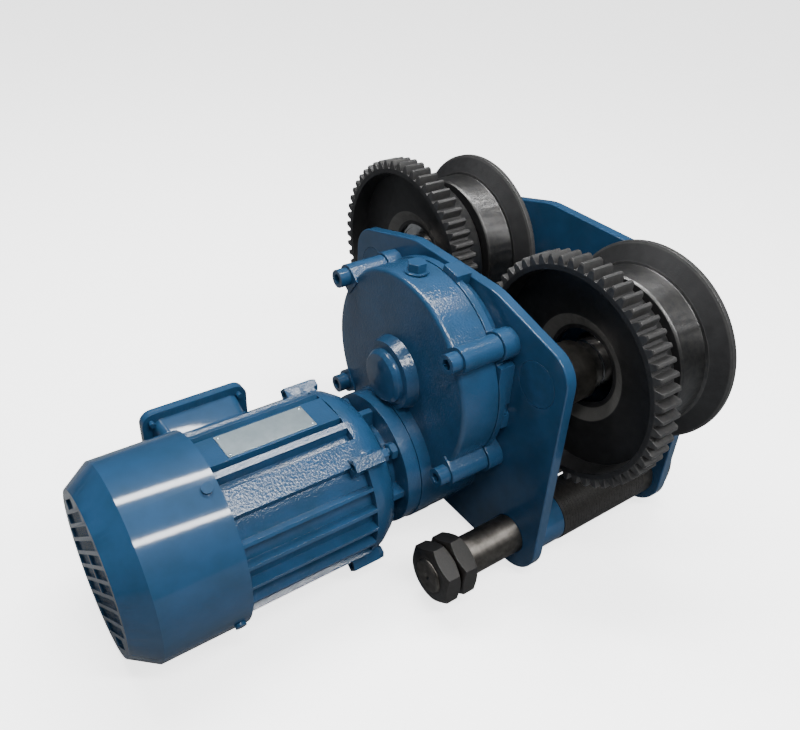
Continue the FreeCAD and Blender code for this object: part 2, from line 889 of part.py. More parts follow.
def make_wheel_bearings():
    """A sealed ball bearing pressed into each wheel, running on its stub axle."""
    rows = (
        ("drive", "drive_seat_start", "drive_seat_end"),
        ("idle", "idle_seat_end", "idle_seat_start"),
    )
    for name, start, end in rows:
        for side, sign in SIDES.items():
            body = new_body(f"{name}_bearing_{side}", f"{sign} * axle_x", "0", "axle_z")
            turn(body, bearing_corners("bearing_bore_radius + running_clearance",
                                       "bearing_outer_radius", start, end))


def make_drive_wheels():
    """Cast wheels whose flange is a spur gear, with a dished web and a coned hub."""
    profile = [
        ("bearing_lip_radius", "drive_tread_near"),
        ("core_inner_radius", "drive_tread_near"),
        ("core_inner_radius + 1", "drive_tread_near - core_depth"),
        ("core_outer_radius - 2", "drive_tread_near - core_depth"),
        ("core_outer_radius", "drive_tread_near"),
        ("tread_radius - tread_chamfer", "drive_tread_near"),
        ("tread_radius", "drive_tread_near - tread_chamfer"),
        ("tread_radius", "drive_tread_far"),
        ("gear_tip_radius - tread_chamfer", "drive_tread_far"),
        ("gear_tip_radius", "drive_tread_far - tread_chamfer / 2"),
        ("gear_tip_radius", "gear_outer + tread_chamfer / 2"),
        ("gear_tip_radius - tread_chamfer", "gear_outer"),
        ("rim_inner_radius", "gear_outer"),
        ("rim_inner_radius - rim_draft", "web_face"),
        ("hub_radius", "web_face"),
        ("hub_cone_radius", "web_face + hub_cone_depth"),
        ("bearing_outer_radius + fixed_clearance", "web_face + hub_cone_depth"),
        ("bearing_outer_radius + fixed_clearance", "drive_seat_end + fixed_clearance"),
        ("bearing_lip_radius", "drive_seat_end + fixed_clearance"),
    ]
    first = mesh_direction(SIDES["right"])
    pinion_pitch = 360 / value("pinion_teeth")
    for side, sign in SIDES.items():
        blank = new_body(f"drive_wheel_{side}", f"{sign} * axle_x", "0", "axle_z")
        turn(blank, profile)
        blank.Label = f"drive_wheel_{side}_blank"
        direction = mesh_direction(sign)
        turned = direction - first
        ahead = round(turned / pinion_pitch) * pinion_pitch - turned
        phase = direction + 180 - ahead * value("pinion_teeth / gear_teeth")
        cut_teeth(f"drive_wheel_{side}", blank, "gear_module", "gear_teeth", "gear_outer",
                  "drive_tread_far", phase, f"{sign} * axle_x", "axle_z")


def make_idle_wheels():
    """Cast wheels with a plain sloping flange, on the side away from the motor."""
    profile = [
        ("bearing_lip_radius", "idle_tread_near"),
        ("core_inner_radius", "idle_tread_near"),
        ("core_inner_radius + 1", "idle_tread_near + core_depth"),
        ("core_outer_radius - 2", "idle_tread_near + core_depth"),
        ("core_outer_radius", "idle_tread_near"),
        ("tread_radius - tread_chamfer", "idle_tread_near"),
        ("tread_radius", "idle_tread_near + tread_chamfer"),
        ("tread_radius", "idle_tread_far - 1"),
        ("flange_root_radius", "idle_tread_far"),
        ("flange_radius - tread_chamfer", "flange_outer - flange_rim - tread_chamfer / 2"),
        ("flange_radius", "flange_outer - flange_rim"),
        ("flange_radius", "flange_outer - tread_chamfer"),
        ("flange_radius - tread_chamfer", "flange_outer"),
        ("flange_web_radius", "flange_outer"),
        ("flange_web_radius - rim_draft", "idle_web_face"),
        ("hub_radius", "idle_web_face"),
        ("hub_cone_radius", "idle_web_face - hub_cone_depth"),
        ("bearing_outer_radius + fixed_clearance", "idle_web_face - hub_cone_depth"),
        ("bearing_outer_radius + fixed_clearance", "idle_seat_end - fixed_clearance"),
        ("bearing_lip_radius", "idle_seat_end - fixed_clearance"),
    ]
    for side, sign in SIDES.items():
        body = new_body(f"idle_wheel_{side}", f"{sign} * axle_x", "0", "axle_z")
        turn(body, profile)


def housing_ears(inner, radius):
    """Ear plates that join the four screw bosses to the drum of the gearbox."""
    ears = []
    for sign_x, sign_z in boss_signs():
        across_x = f"{sign_x} * {radius} * sin(boss_angle)"
        across_z = f"{sign_z} * {radius} * cos(boss_angle)"
        ears.append([
            (f"{sign_x} * {inner} * cos(boss_angle) + {across_x}",
             f"{sign_z} * {inner} * sin(boss_angle) - {across_z}"),
            (f"{sign_x} * boss_x + {across_x}", f"{sign_z} * boss_z - {across_z}"),
            (f"{sign_x} * boss_x - {across_x}", f"{sign_z} * boss_z + {across_z}"),
            (f"{sign_x} * {inner} * cos(boss_angle) - {across_x}",
             f"{sign_z} * {inner} * sin(boss_angle) + {across_z}"),
        ])
    return ears


def add_bosses(body, start, end, radius="boss_radius"):
    """Add the four screw bosses with their ears."""
    for sign_x, sign_z in boss_signs():
        add(body, start, end, circles=[(f"{sign_x} * boss_x", f"{sign_z} * boss_z", radius)])
    for ear in housing_ears("(drum_radius - housing_wall)", radius):
        add(body, start, end, polygons=[ear])


def cut_boss_holes(body, start, end):
    """Bore the four screw bosses."""
    holes = []
    for sign_x, sign_z in boss_signs():
        holes.append((f"{sign_x} * boss_x", f"{sign_z} * boss_z", "screw_radius + screw_clearance"))
    cut(body, start, end, circles=holes)


LOBE_Z = "-reducer_distance"


def make_gearbox_cover():
    """The drum of the gearbox: one casting with the lobe that carries the motor."""
    body = new_body("gearbox_cover", "0", "0", "pinion_z")
    turn(body, [
        ("0", "gasket_front"),
        ("drum_radius", "gasket_front"),
        ("drum_radius", "cover_face"),
        ("bearing_boss_radius", "cover_face"),
        ("bearing_boss_face", "boss_face"),
        ("0", "boss_face"),
    ])
    round_edges(body, "Fillet", "drum_edge_radius", ring_at("drum_radius", "cover_face"))
    add(body, "cover_face", "gasket_front", circles=[("0", LOBE_Z, "lobe_radius")])
    add(body, "seat_face", "cover_face + cover_front", circles=[("0", LOBE_Z, "seat_radius")])
    add_bosses(body, "cover_face - boss_height", "gasket_front")
    cut(body, "cover_inside", "gasket_front", circles=[("0", "0", "drum_radius - housing_wall")])
    cut(body, "cover_inside", "gasket_front",
        circles=[("0", LOBE_Z, "reducer_module * (input_teeth / 2 + 1) + housing_wall")])
    add(body, "cover_inside", "front_bearing_end + 2", circles=[("0", "0", "bearing_boss_radius")])
    cut(body, "boss_face", "front_bearing_end",
        circles=[("0", "0", "front_bearing_outer + fixed_clearance")])
    cut(body, "front_bearing_end - 1", "front_bearing_end + 2",
        circles=[("0", "0", "front_bearing_outer - 4")])
    cut(body, "seat_face", "seat_face + spigot_length",
        circles=[("0", LOBE_Z, "spigot_radius + fixed_clearance")])
    cut(body, "seat_face", "cover_inside",
        circles=[("0", LOBE_Z, "reducer_module * (input_teeth / 2 + 1) + 2")])
    cut_boss_holes(body, "cover_face - boss_height", "gasket_front")
    cut_stud_holes(body)
    return body


def stud_places():
    """Where the studs of the motor flange stand, about the motor axis."""
    reach = "stud_circle * sqrt(0.5)"
    return [(f"{sx} * {reach}", f"{sz} * {reach}") for sx, sz in boss_signs()]


def cut_stud_holes(body):
    """Bore the seat of the motor flange for its studs."""
    holes = [(x, f"{LOBE_Z} + {z}", "stud_radius + fixed_clearance") for x, z in stud_places()]
    cut(body, "seat_face", "stud_front + 1", circles=holes)


def make_gearbox_base():
    """The closed half of the gearbox, screwed flat to the drive plate."""
    body = new_body("gearbox_base", "0", "0", "pinion_z")
    add(body, "base_front", "base_front + base_rim", circles=[("0", "0", "base_radius")])
    add(body, "base_front", "drive_plate_out", circles=[("0", "0", "base_back_radius")])
    add(body, "base_front", "drive_plate_out", circles=[("0", LOBE_Z, "lobe_radius")])
    add_bosses(body, "base_front", "drive_plate_out", "ear_radius")
    for pad in base_pads():
        add(body, "base_front", "drive_plate_out", polygons=[pad])
    cut(body, "base_front", "base_inside", circles=[("0", "0", "drum_radius - housing_wall")])
    cut(body, "base_front", "base_inside",
        circles=[("0", LOBE_Z, "reducer_module * (input_teeth / 2 + 1) + housing_wall")])
    add(body, "rear_bearing_start + 1", "base_inside", circles=[("0", "0", "plate_bore_radius + 3")])
    add(body, "drive_plate_out", "drive_plate_out + plate_spigot_length",
        circles=[("0", "0", "plate_bore_radius - fixed_clearance")])
    cut(body, "rear_bearing_start + 1", "rear_bearing_end",
        circles=[("0", "0", "bearing_outer_radius + fixed_clearance")])
    cut(body, "rear_bearing_end", "drive_plate_out + plate_spigot_length",
        circles=[("0", "0", "bearing_outer_radius - 3")])
    cut_boss_holes(body, "base_front", "drive_plate_out")


def base_pads():
    """The lugs and pads on the rim of the gearbox base, as outlines."""
    pads = []
    for sign in (-1, 1):
        pads.append(box_corners(f"{sign} * side_pad_inner", "side_pad_bottom",
                                f"{sign} * side_pad_outer", "side_pad_top"))
        pads.append([
            (f"{sign} * side_pad_inner", "side_lug_top"),
            (f"{sign} * (side_lug_outer - side_lug_corner)", "side_lug_top"),
            (f"{sign} * side_lug_outer", "side_lug_top - side_lug_corner"),
            (f"{sign} * side_lug_outer", "side_lug_bottom + side_lug_corner"),
            (f"{sign} * (side_lug_outer - side_lug_corner)", "side_lug_bottom"),
            (f"{sign} * side_pad_inner", "side_lug_bottom"),
        ])
    lug = []
    for reach, half in ((-1, -1), (1, -1), (1, 1), (-1, 1)):
        radius = "rim_lug_reach" if reach > 0 else "side_pad_inner"
        lug.append((f"{radius} * cos(rim_lug_angle) - {half} * rim_lug_half_width * sin(rim_lug_angle)",
                    f"{radius} * sin(rim_lug_angle) + {half} * rim_lug_half_width * cos(rim_lug_angle)"))
    pads.append(lug)
    return pads


def make_gasket():
    """The paper gasket between the two halves of the gearbox."""
    body = new_body("gearbox_gasket", "0", "0", "pinion_z")
    add(body, "gasket_front", "base_front", circles=[("0", "0", "drum_radius - gasket_inset")])
    add(body, "gasket_front", "base_front", circles=[("0", LOBE_Z, "lobe_radius - gasket_inset")])
    add_bosses(body, "gasket_front", "base_front", "(boss_radius - gasket_inset)")
    cut(body, "gasket_front", "base_front", circles=[("0", "0", "drum_radius - housing_wall")])
    cut(body, "gasket_front", "base_front",
        circles=[("0", LOBE_Z, "reducer_module * (input_teeth / 2 + 1) + housing_wall")])
    cut_boss_holes(body, "gasket_front", "base_front")


def make_gearbox_fasteners():
    """Four socket screws through the bosses, the bearing cap and the oil filler plug."""
    head_face = value("cover_face - boss_height - screw_head_height")
    shoulder = value("cover_face - boss_height")
    tip = value("drive_plate_in")
    screw = cylinder(value("screw_head_radius"), head_face, shoulder)
    screw = screw.fuse(cylinder(value("screw_radius"), shoulder, tip))
    socket = hex_prism(value("screw_socket"), head_face, head_face + value("screw_head_height") / 2)
    screw = screw.cut(socket)
    copies = []
    for sign_x, sign_z in boss_signs():
        copy = screw.copy()
        copy.translate(Vector(sign_x * value("boss_x"), 0,
                              value("pinion_z") + sign_z * value("boss_z")))
        copies.append(copy)
    loose_shape("cover_screws", Part.makeCompound(copies))
    cap = new_body("bearing_cap", "0", "0", "pinion_z")
    turn(cap, [
        ("0", "boss_face - cap_height"),
        ("cap_radius - cap_edge_radius", "boss_face - cap_height"),
        ("cap_radius", "boss_face - cap_height + cap_edge_radius"),
        ("cap_radius", "boss_face"),
        ("front_bearing_outer", "boss_face"),
        ("front_bearing_outer", "front_bearing_start - fixed_clearance"),
        ("front_bearing_outer - 3", "front_bearing_start - fixed_clearance"),
        ("front_bearing_outer - 3", "boss_face - 1"),
        ("0", "boss_face - 1"),
    ])


def make_filler_plug():
    """A hexagon plug screwed radially into the top of the gearbox drum."""
    height = value("plug_height")
    head = hexagon(value("plug_across_flats"))
    head.rotate(Vector(0, 0, 0), Vector(1, 0, 0), 90)
    seat = value("drum_radius + side_clearance")
    washer = value("plug_washer")
    head.translate(Vector(0, 0, seat + washer))
    prism = head.extrude(Vector(0, 0, height))
    flange = Part.makeCylinder(value("plug_pad_radius"), washer, Vector(0, 0, seat))
    shape = prism.fuse(flange).removeSplitter()
    shape.translate(Vector(0, value("cover_face + plug_set_back"), 0))
    shape.rotate(Vector(0, 0, 0), Vector(0, 1, 0), -value("plug_lean"))
    loose_shape("filler_plug", shape, "0", "pinion_z")


def make_output_shaft():
    """The slow shaft with its pinion, gear, key, bearings and seal."""
    blank = new_body("output_pinion_shaft", "0", "0", "pinion_z")
    tip = "gear_module * (pinion_teeth / 2 + 1)"
    turn(blank, [
        ("0", "front_bearing_start"),
        ("front_journal_radius - 1", "front_bearing_start"),
        ("front_journal_radius", "front_bearing_start + 1"),
        ("front_journal_radius", "front_bearing_end + side_clearance"),
        ("gear_seat_radius", "front_bearing_end + side_clearance"),
        ("gear_seat_radius", "output_gear_end"),
        ("shaft_collar_radius", "output_gear_end"),
        ("shaft_collar_radius", "output_gear_end + shaft_collar"),
        ("bearing_bore_radius", "output_gear_end + shaft_collar"),
        ("bearing_bore_radius", "gear_outer - 4"),
        ("bearing_bore_radius + 3", "gear_outer"),
        (f"{tip} - tread_chamfer", "gear_outer"),
        (tip, "gear_outer + tread_chamfer"),
        (tip, "drive_tread_far - tread_chamfer"),
        (f"{tip} - tread_chamfer", "drive_tread_far"),
        ("0", "drive_tread_far"),
    ])
    key_top = "gear_seat_radius + key_height / 2"
    key_slot = box_corners("-key_width / 2", "gear_seat_radius - key_height / 2",
                           "key_width / 2", "gear_seat_radius + 1")
    cut(blank, "output_gear_start", "output_gear_end - 1", polygons=[key_slot])
    blank.Label = "output_pinion_blank"
    cut_teeth("output_pinion_shaft", blank, "gear_module", "pinion_teeth", "gear_outer",
              "drive_tread_far", mesh_direction(SIDES["right"]) + 180 / value("pinion_teeth"),
              "0", "pinion_z")
    gear = new_body("output_gear", "0", "0", "pinion_z")
    outer = "reducer_module * (output_teeth / 2 + 1)"
    bore = "gear_seat_radius + fixed_clearance"
    turn(gear, [
        (bore, "output_gear_start"),
        ("output_hub_radius", "output_gear_start"),
        ("output_web_inner", "output_gear_start + output_web_recess"),
        ("output_web_outer", "output_gear_start + output_web_recess"),
        ("output_web_outer + 1", "output_gear_start"),
        (outer, "output_gear_start"),
        (outer, "output_gear_end"),
        ("output_web_outer + 1", "output_gear_end"),
        ("output_web_outer", "output_gear_end - output_web_recess"),
        ("output_web_inner", "output_gear_end - output_web_recess"),
        ("output_hub_radius", "output_gear_end"),
        (bore, "output_gear_end"),
    ])
    slot = box_corners("-key_width / 2 - fixed_clearance", "0",
                       "key_width / 2 + fixed_clearance", f"{key_top} + fixed_clearance")
    cut(gear, "output_gear_start", "output_gear_end", polygons=[slot])
    gear.Label = "output_gear_blank"
    cut_teeth("output_gear", gear, "reducer_module", "output_teeth", "output_gear_start",
              "output_gear_end", 270, "0", "pinion_z")
    key = new_body("output_gear_key", "0", "0", "pinion_z")
    inside = "key_width / 2 - fixed_clearance"
    add(key, "output_gear_start + fixed_clearance", "output_gear_end - 1 - fixed_clearance",
        polygons=[box_corners(f"-({inside})", "gear_seat_radius - key_height / 2 + fixed_clearance",
                              inside, key_top)])
    front = new_body("output_front_bearing", "0", "0", "pinion_z")
    turn(front, bearing_corners("front_journal_radius + running_clearance", "front_bearing_outer",
                                "front_bearing_start", "front_bearing_end"))
    rear = new_body("output_rear_bearing", "0", "0", "pinion_z")
    turn(rear, bearing_corners("bearing_bore_radius + running_clearance", "bearing_outer_radius",
                               "rear_bearing_start", "rear_bearing_end"))
    seal = new_body("output_shaft_seal", "0", "0", "pinion_z")
    turn(seal, [
        ("bearing_bore_radius + running_clearance", "seal_end - 2"),
        ("bearing_bore_radius + 3", "rear_bearing_end + 1"),
        ("bearing_outer_radius - 3 - fixed_clearance", "rear_bearing_end + 1"),
        ("bearing_outer_radius - 3 - fixed_clearance", "seal_end"),
        ("bearing_bore_radius + 3", "seal_end"),
        ("bearing_bore_radius + running_clearance", "seal_end - 1"),
    ])


def make_motor_front_shield():
    """The drive end shield: a flange, a ribbed neck and a bowl that closes the frame."""
    body = new_body("motor_front_shield", "0", "0", "motor_z")
    bore = "motor_bearing_bore + 2"
    seat = "front_bearing_outer + fixed_clearance"
    turn(body, [
        (bore, "seat_face + spigot_length - 0.5"),
        ("spigot_radius", "seat_face + spigot_length - 0.5"),
        ("spigot_radius", "motor_seat"),
        ("motor_flange_radius", "motor_seat"),
        ("motor_flange_radius", "flange_back"),
        ("motor_neck_radius", "flange_back"),
        ("motor_neck_radius", "neck_end + 1"),
        ("shield_bowl_radius", "neck_end"),
        ("shield_bowl_radius + 10", "neck_end - shield_bowl_length * 0.3"),
        ("shield_rim_radius - 2", "neck_end - shield_bowl_length * 0.75"),
        ("shield_rim_radius", "neck_end - shield_bowl_length"),
        ("shield_rim_radius", "frame_front"),
        ("frame_bore - fixed_clearance", "frame_front"),
        ("frame_bore - fixed_clearance", "frame_front - 3"),
        ("frame_bore - shield_wall", "frame_front - 3"),
        ("frame_bore - shield_wall", "neck_end - shield_bowl_length * 0.75"),
        ("shield_bowl_radius - shield_wall", "neck_end - shield_wall"),
        ("bearing_outer_radius", "neck_end - shield_wall"),
        ("bearing_outer_radius", "motor_bearing_start - 1"),
        (seat, "motor_bearing_start - 1"),
        (seat, "motor_bearing_end"),
        (bore, "motor_bearing_end"),
    ])
    rib = add(body, "neck_end + 0.5", "flange_back",
              polygons=[box_corners("-rib_thickness / 2", "motor_neck_radius - 4",
                                    "rib_thickness / 2", "motor_flange_radius - 6")])
    repeat_round(body, rib, "rib_count")
    add_lugs(body, "frame_front", "frame_front + lug_length")
    cut_lug_holes(body, "frame_front", "frame_front + lug_length", "lug_bolt_radius + 0.3")
    holes = [(x, z, "stud_radius + 0.3") for x, z in stud_places()]
    cut(body, "flange_back", "motor_seat", circles=holes)


def lug_corners(angle):
    """One bolting lug, standing out from the rim of the motor at an angle in degrees."""
    def at(radius, offset):
        return (f"{radius} * cos({angle}) - {offset} * sin({angle})",
                f"{radius} * sin({angle}) + {offset} * cos({angle})")

    inner = "(shield_rim_radius - 5)"
    return [at(inner, "-lug_half_width"), at("lug_radius", "-lug_half_width * 0.6"),
            at("lug_radius", "lug_half_width * 0.6"), at(inner, "lug_half_width")]


def lug_angles():
    """The directions of the four lugs that hold an end shield to the frame."""
    return [45, 135, 225, 315]


def add_lugs(body, start, end):
    """Add the four bolting lugs between two stations."""
    add(body, start, end, polygons=[lug_corners(angle) for angle in lug_angles()])


def cut_lug_holes(body, start, end, radius):
    """Bore the four bolting lugs."""
    holes = []
    for angle in lug_angles():
        holes.append((f"lug_bolt_circle * cos({angle})", f"lug_bolt_circle * sin({angle})", radius))
    cut(body, start, end, circles=holes)


def make_motor_frame():
    """The finned stator frame, with a flat for the name plate and a seat for the box."""
    body = new_body("motor_frame", "0", "0", "motor_z")
    start = "frame_back"
    end = "frame_front"
    add(body, start, end, circles=[("0", "0", "frame_root")])
    inner = "frame_root - 2"

    def fin(width_in, width_out, height):
        return [(f"-({width_in}) / 2", inner), (f"({width_in}) / 2", inner),
                (f"({width_out}) / 2", height), (f"-({width_out}) / 2", height)]

    fins = []
    for angle in fin_angles():
        single = fin("fin_root_width", "fin_tip_width", "fin_tip")
        fins.append([turned_corner(x, z, angle) for x, z in single])
    thick = fin("2 * fin_root_width", "2 * fin_tip_width", "fin_tip")
    for angle in ("pad_fin_angle", "-pad_fin_angle"):
        fins.append([turned_corner(x, z, angle) for x, z in thick])
    add(body, start, end, polygons=fins)
    wide = fin("2 * land_half_width", "2 * (land_half_width - land_taper)", "fin_tip - 1")
    for angle in ("land_angle", "-land_angle", "(180 - land_angle)", "(land_angle - 180)"):
        add(body, start, end, polygons=[[turned_corner(x, z, angle) for x, z in wide]])
    flat = box_corners("-name_pad_half_width", inner, "name_pad_half_width", "name_pad_height")
    add(body, start, end, polygons=[flat])
    add_box_seat(body)
    add_lugs(body, "frame_front - lug_length", "frame_front")
    cut(body, start, end, circles=[("0", "0", "frame_bore")])
    cut_lug_holes(body, "frame_front - lug_length", "frame_front", "lug_bolt_radius + 0.1")


def fin_angles():
    """Directions of the thin fins, in degrees clockwise from +Z: both sides and underneath."""
    side = [62 + 14.25 * k for k in range(5)]
    return side + [-angle for angle in side] + [152 + 14 * k for k in range(5)]


def turned_corner(x, z, angle):
    """A corner turned about the Y axis, clockwise from +Z, by an angle in degrees."""
    return (f"({x}) * cos({angle}) + ({z}) * sin({angle})",
            f"({z}) * cos({angle}) - ({x}) * sin({angle})")


def add_box_seat(body):
    """The raised seat on the frame under the terminal box, open in the middle for the wires."""
    sketch = new_sketch(body, "YZ_Plane", "-box_seat")
    draw_polygon(sketch, box_corners("box_centre - box_length / 2", "-box_height / 2",
                                     "box_centre + box_length / 2", "box_height / 2"))
    seat = body.newObject("PartDesign::Pad", "box_seat_pad")
    seat.Profile = sketch
    bind(seat, "Length", "box_seat - frame_bore + 6")
    opening = new_sketch(body, "YZ_Plane", "-box_seat")
    draw_polygon(opening, box_corners("box_centre - wire_way_length / 2", "-wire_way_height / 2",
                                      "box_centre + wire_way_length / 2", "wire_way_height / 2"))
    hole = body.newObject("PartDesign::Pocket", "box_wire_way")
    hole.Profile = opening
    hole.Reversed = True
    bind(hole, "Length", "box_seat - frame_bore + 6")


def make_motor_rear_shield():
    """The rear end shield inside the fan cover."""
    body = new_body("motor_rear_shield", "0", "0", "motor_z")
    seat = "rear_bearing_outer + fixed_clearance"
    turn(body, [
        ("rear_bearing_bore + 1.5", "rear_shield_back"),
        ("shield_rim_radius", "rear_shield_back"),
        ("shield_rim_radius", "frame_back"),
        ("frame_bore - fixed_clearance", "frame_back"),
        ("frame_bore - fixed_clearance", "frame_back + 3"),
        ("frame_bore - shield_wall", "frame_back + 3"),
        ("frame_bore - shield_wall", "rear_shield_back + shield_wall"),
        ("rear_hub_radius", "rear_shield_back + shield_wall"),
        ("rear_hub_radius", "rear_bearing_front + 1"),
        (seat, "rear_bearing_front + 1"),
        (seat, "rear_bearing_back"),
        ("rear_bearing_bore + 1.5", "rear_bearing_back"),
    ])
    lugs = []
    for quarter in range(4):
        angle = f"(cover_screw_angle + {90 * quarter})"
        lugs.append([turned_corner(x, z, f"(90 - {angle})") for x, z in
                     box_corners("-cover_lug_half_width", "shield_rim_radius - 4",
                                 "cover_lug_half_width",
                                 "cover_radius - cover_sheet - cover_lug_clearance")])
    add(body, "rear_shield_back", "frame_back", polygons=lugs)
    body.Label = "motor_rear_shield_blank"
    tool = doc.addObject("Part::Feature", "rear_shield_tappings")
    tool.Shape = Part.makeCompound(cover_screw_shapes(
        "cover_screw_radius + fixed_clearance", -value("cover_screw_bite") - 2.5, 0))
    tool.Placement = Placement(Vector(0, 0, value("motor_z")), Rotation())
    less("motor_rear_shield", body, tool)


def make_motor_rotor():
    """The motor shaft with its pinion and the laminated rotor pressed on it."""
    blank = new_body("motor_shaft", "0", "0", "motor_z")
    tip = "reducer_module * (input_teeth / 2 + 1)"
    neck = "reducer_module * (input_teeth / 2 - 1.25) - 0.5"
    turn(blank, [
        ("0", "output_gear_end"),
        (f"{tip} - 1", "output_gear_end"),
        (tip, "output_gear_end - 1"),
        (tip, "output_gear_start"),
        (neck, "output_gear_start - 1"),
        (neck, "motor_bearing_end + 2"),
        ("motor_bearing_bore", "motor_bearing_end + 1"),
        ("motor_bearing_bore", "motor_bearing_start - side_clearance"),
        ("rotor_shaft_radius", "motor_bearing_start - side_clearance"),
        ("rotor_shaft_radius", "rear_bearing_front + side_clearance"),
        ("rear_bearing_bore", "rear_bearing_front + side_clearance"),
        ("rear_bearing_bore", "rear_shield_back - 2"),
        ("fan_bore_radius", "rear_shield_back - 2"),
        ("fan_bore_radius", "fan_back + 4"),
        ("0", "fan_back + 4"),
    ])
    blank.Label = "motor_shaft_blank"
    cut_teeth("motor_shaft", blank, "reducer_module", "input_teeth", "output_gear_start",
              "output_gear_end", 90 + 180 / value("input_teeth"), "0", "motor_z")
    rotor = new_body("rotor_core", "0", "0", "motor_z")
    turn(rotor, box_corners("rotor_shaft_radius + fixed_clearance", "stator_back",
                            "stator_bore - air_gap", "stator_front"))
    stator = new_body("stator_core", "0", "0", "motor_z")
    turn(stator, box_corners("stator_bore", "stator_back",
                             "frame_bore - fixed_clearance", "stator_front"))
    coils = []
    for start, end in (("stator_back - winding_length", "stator_back"),
                       ("stator_front", "stator_front + winding_length")):
        ring = cylinder(value("winding_outer"), value(start), value(end))
        ring = ring.cut(cylinder(value("winding_inner"), value(start), value(end)))
        coils.append(ring)
    loose_shape("stator_windings", Part.makeCompound(coils), "0", "motor_z")
    front = new_body("motor_front_bearing", "0", "0", "motor_z")
    turn(front, bearing_corners("motor_bearing_bore + running_clearance", "front_bearing_outer",
                                "motor_bearing_start", "motor_bearing_end"))
    rear = new_body("motor_rear_bearing", "0", "0", "motor_z")
    turn(rear, bearing_corners("rear_bearing_bore + running_clearance", "rear_bearing_outer",
                               "rear_bearing_back", "rear_bearing_front"))


def make_fan():
    """A moulded radial fan on the tail of the motor shaft."""
    body = new_body("cooling_fan", "0", "0", "motor_z")
    turn(body, [
        ("fan_bore_radius + fixed_clearance", "fan_back"),
        ("fan_hub_radius", "fan_back"),
        ("fan_hub_radius", "fan_front - fan_plate"),
        ("fan_radius", "fan_front - fan_plate"),
        ("fan_radius", "fan_front"),
        ("fan_bore_radius + fixed_clearance", "fan_front"),
    ])
    blade = add(body, "fan_back + 2", "fan_front - fan_plate / 2",
                polygons=[box_corners("-fan_blade_thickness / 2", "fan_hub_radius - 2",
                                      "fan_blade_thickness / 2", "fan_radius - 2")])
    repeat_round(body, blade, "fan_blades")


def make_fan_cover():
    """The pressed fan cover: a drum, a cone and a flat end cut with slanting slots."""
    body = new_body("fan_cover", "0", "0", "motor_z")
    turn(body, [
        ("0", "cover_end"),
        ("cover_end_radius", "cover_end"),
        ("cover_radius", "cover_bend"),
        ("cover_radius", "cover_front_edge"),
        ("cover_radius - cover_sheet", "cover_front_edge"),
        ("cover_radius - cover_sheet", "cover_bend + 0.5"),
        ("cover_end_radius - cover_sheet", "cover_end + cover_sheet"),
        ("0", "cover_end + cover_sheet"),
    ])
    body.Label = "fan_cover_shell"
    tool = doc.addObject("Part::Feature", "fan_cover_slots")
    tool.Shape = Part.makeCompound(cover_slots() + cover_screw_shapes(
        "cover_screw_radius + screw_clearance", -2, 4))
    tool.Placement = Placement(Vector(0, 0, value("motor_z")), Rotation())
    less("fan_cover", body, tool)
    lift = value("fixed_clearance")
    screws = cover_screw_shapes("cover_screw_radius", -value("cover_screw_bite"), 1)
    heads = cover_screw_shapes("cover_screw_head", lift, lift + value("cover_screw_head_height"))
    joined = [screw.fuse(head) for screw, head in zip(screws, heads)]
    loose_shape("fan_cover_screws", Part.makeCompound(joined), "0", "motor_z")


def cover_slots():
    """Slanting slots side by side in the flat end, with a rib across the middle ones."""
    field = value("slot_field_radius")
    half = value("slot_width") / 2
    pitch = value("slot_pitch")
    reach = int((field - half) / pitch)
    depth = value("cover_sheet") + 2
    rib = value("slot_rib_reach")
    rib_width = value("slot_rib_width")
    across_middle = Part.makeBox(rib_width, depth, 2 * rib,
                                 Vector(-rib_width / 2, value("cover_end") - 1, -rib))
    slots = []
    for k in range(-reach, reach + 1):
        length = math.sqrt(field ** 2 - (abs(k) * pitch + half) ** 2)
        slot = Part.makeBox(2 * length, depth, 2 * half,
                            Vector(-length, value("cover_end") - 1, k * pitch - half))
        slot = slot.cut(across_middle)
        slot.rotate(Vector(0, 0, 0), Vector(0, 1, 0), -value("slot_angle"))
        slots.append(slot)
    return slots


def cover_screw_shapes(radius, low, high):
    """Radial pegs through the edge of the fan cover at its four screws."""
    surface = value("cover_radius")
    middle = (value("frame_back") + value("rear_shield_back")) / 2
    pegs = []
    for quarter in range(4):
        peg = Part.makeCylinder(value(radius), high - low, Vector(0, middle, surface + low))
        angle = 90 - value("cover_screw_angle") - 90 * quarter
        peg.rotate(Vector(0, 0, 0), Vector(0, 1, 0), angle)
        pegs.append(peg)
    return pegs


def make_shield_fasteners():
    """The bolts of the front shield and the studs and nuts of the motor flange."""
    head_start = value("frame_front + lug_length")
    tip = value("frame_front - lug_bolt_bite")
    bolt = cylinder(value("lug_bolt_radius"), tip, head_start)
    head = hex_prism(value("lug_head_flats"), head_start, head_start + value("lug_head_height"))
    bolt = bolt.fuse(head)
    bolts = []
    for angle in lug_angles():
        copy = bolt.copy()
        reach = value("lug_bolt_circle")
        turn_by = math.radians(angle)
        copy.translate(Vector(reach * math.cos(turn_by), 0, reach * math.sin(turn_by)))
        bolts.append(copy)
    loose_shape("end_shield_bolts", Part.makeCompound(bolts), "0", "motor_z")
    nut_front = value("flange_back")
    nut_back = nut_front - value("stud_nut_height")
    stud = cylinder(value("stud_radius"), value("stud_back"), value("stud_front"))
    nut = hex_prism(value("stud_nut_flats"), nut_back, nut_front, 1.0)
    nut = nut.cut(cylinder(value("stud_radius + fixed_clearance"), nut_back, nut_front))
    studs = []
    nuts = []
    for x, z in stud_places():
        for source, group in ((stud, studs), (nut, nuts)):
            copy = source.copy()
            copy.translate(Vector(value(x), 0, value(z)))
            group.append(copy)
    loose_shape("flange_studs", Part.makeCompound(studs), "0", "motor_z")
    loose_shape("flange_nuts", Part.makeCompound(nuts), "0", "motor_z")


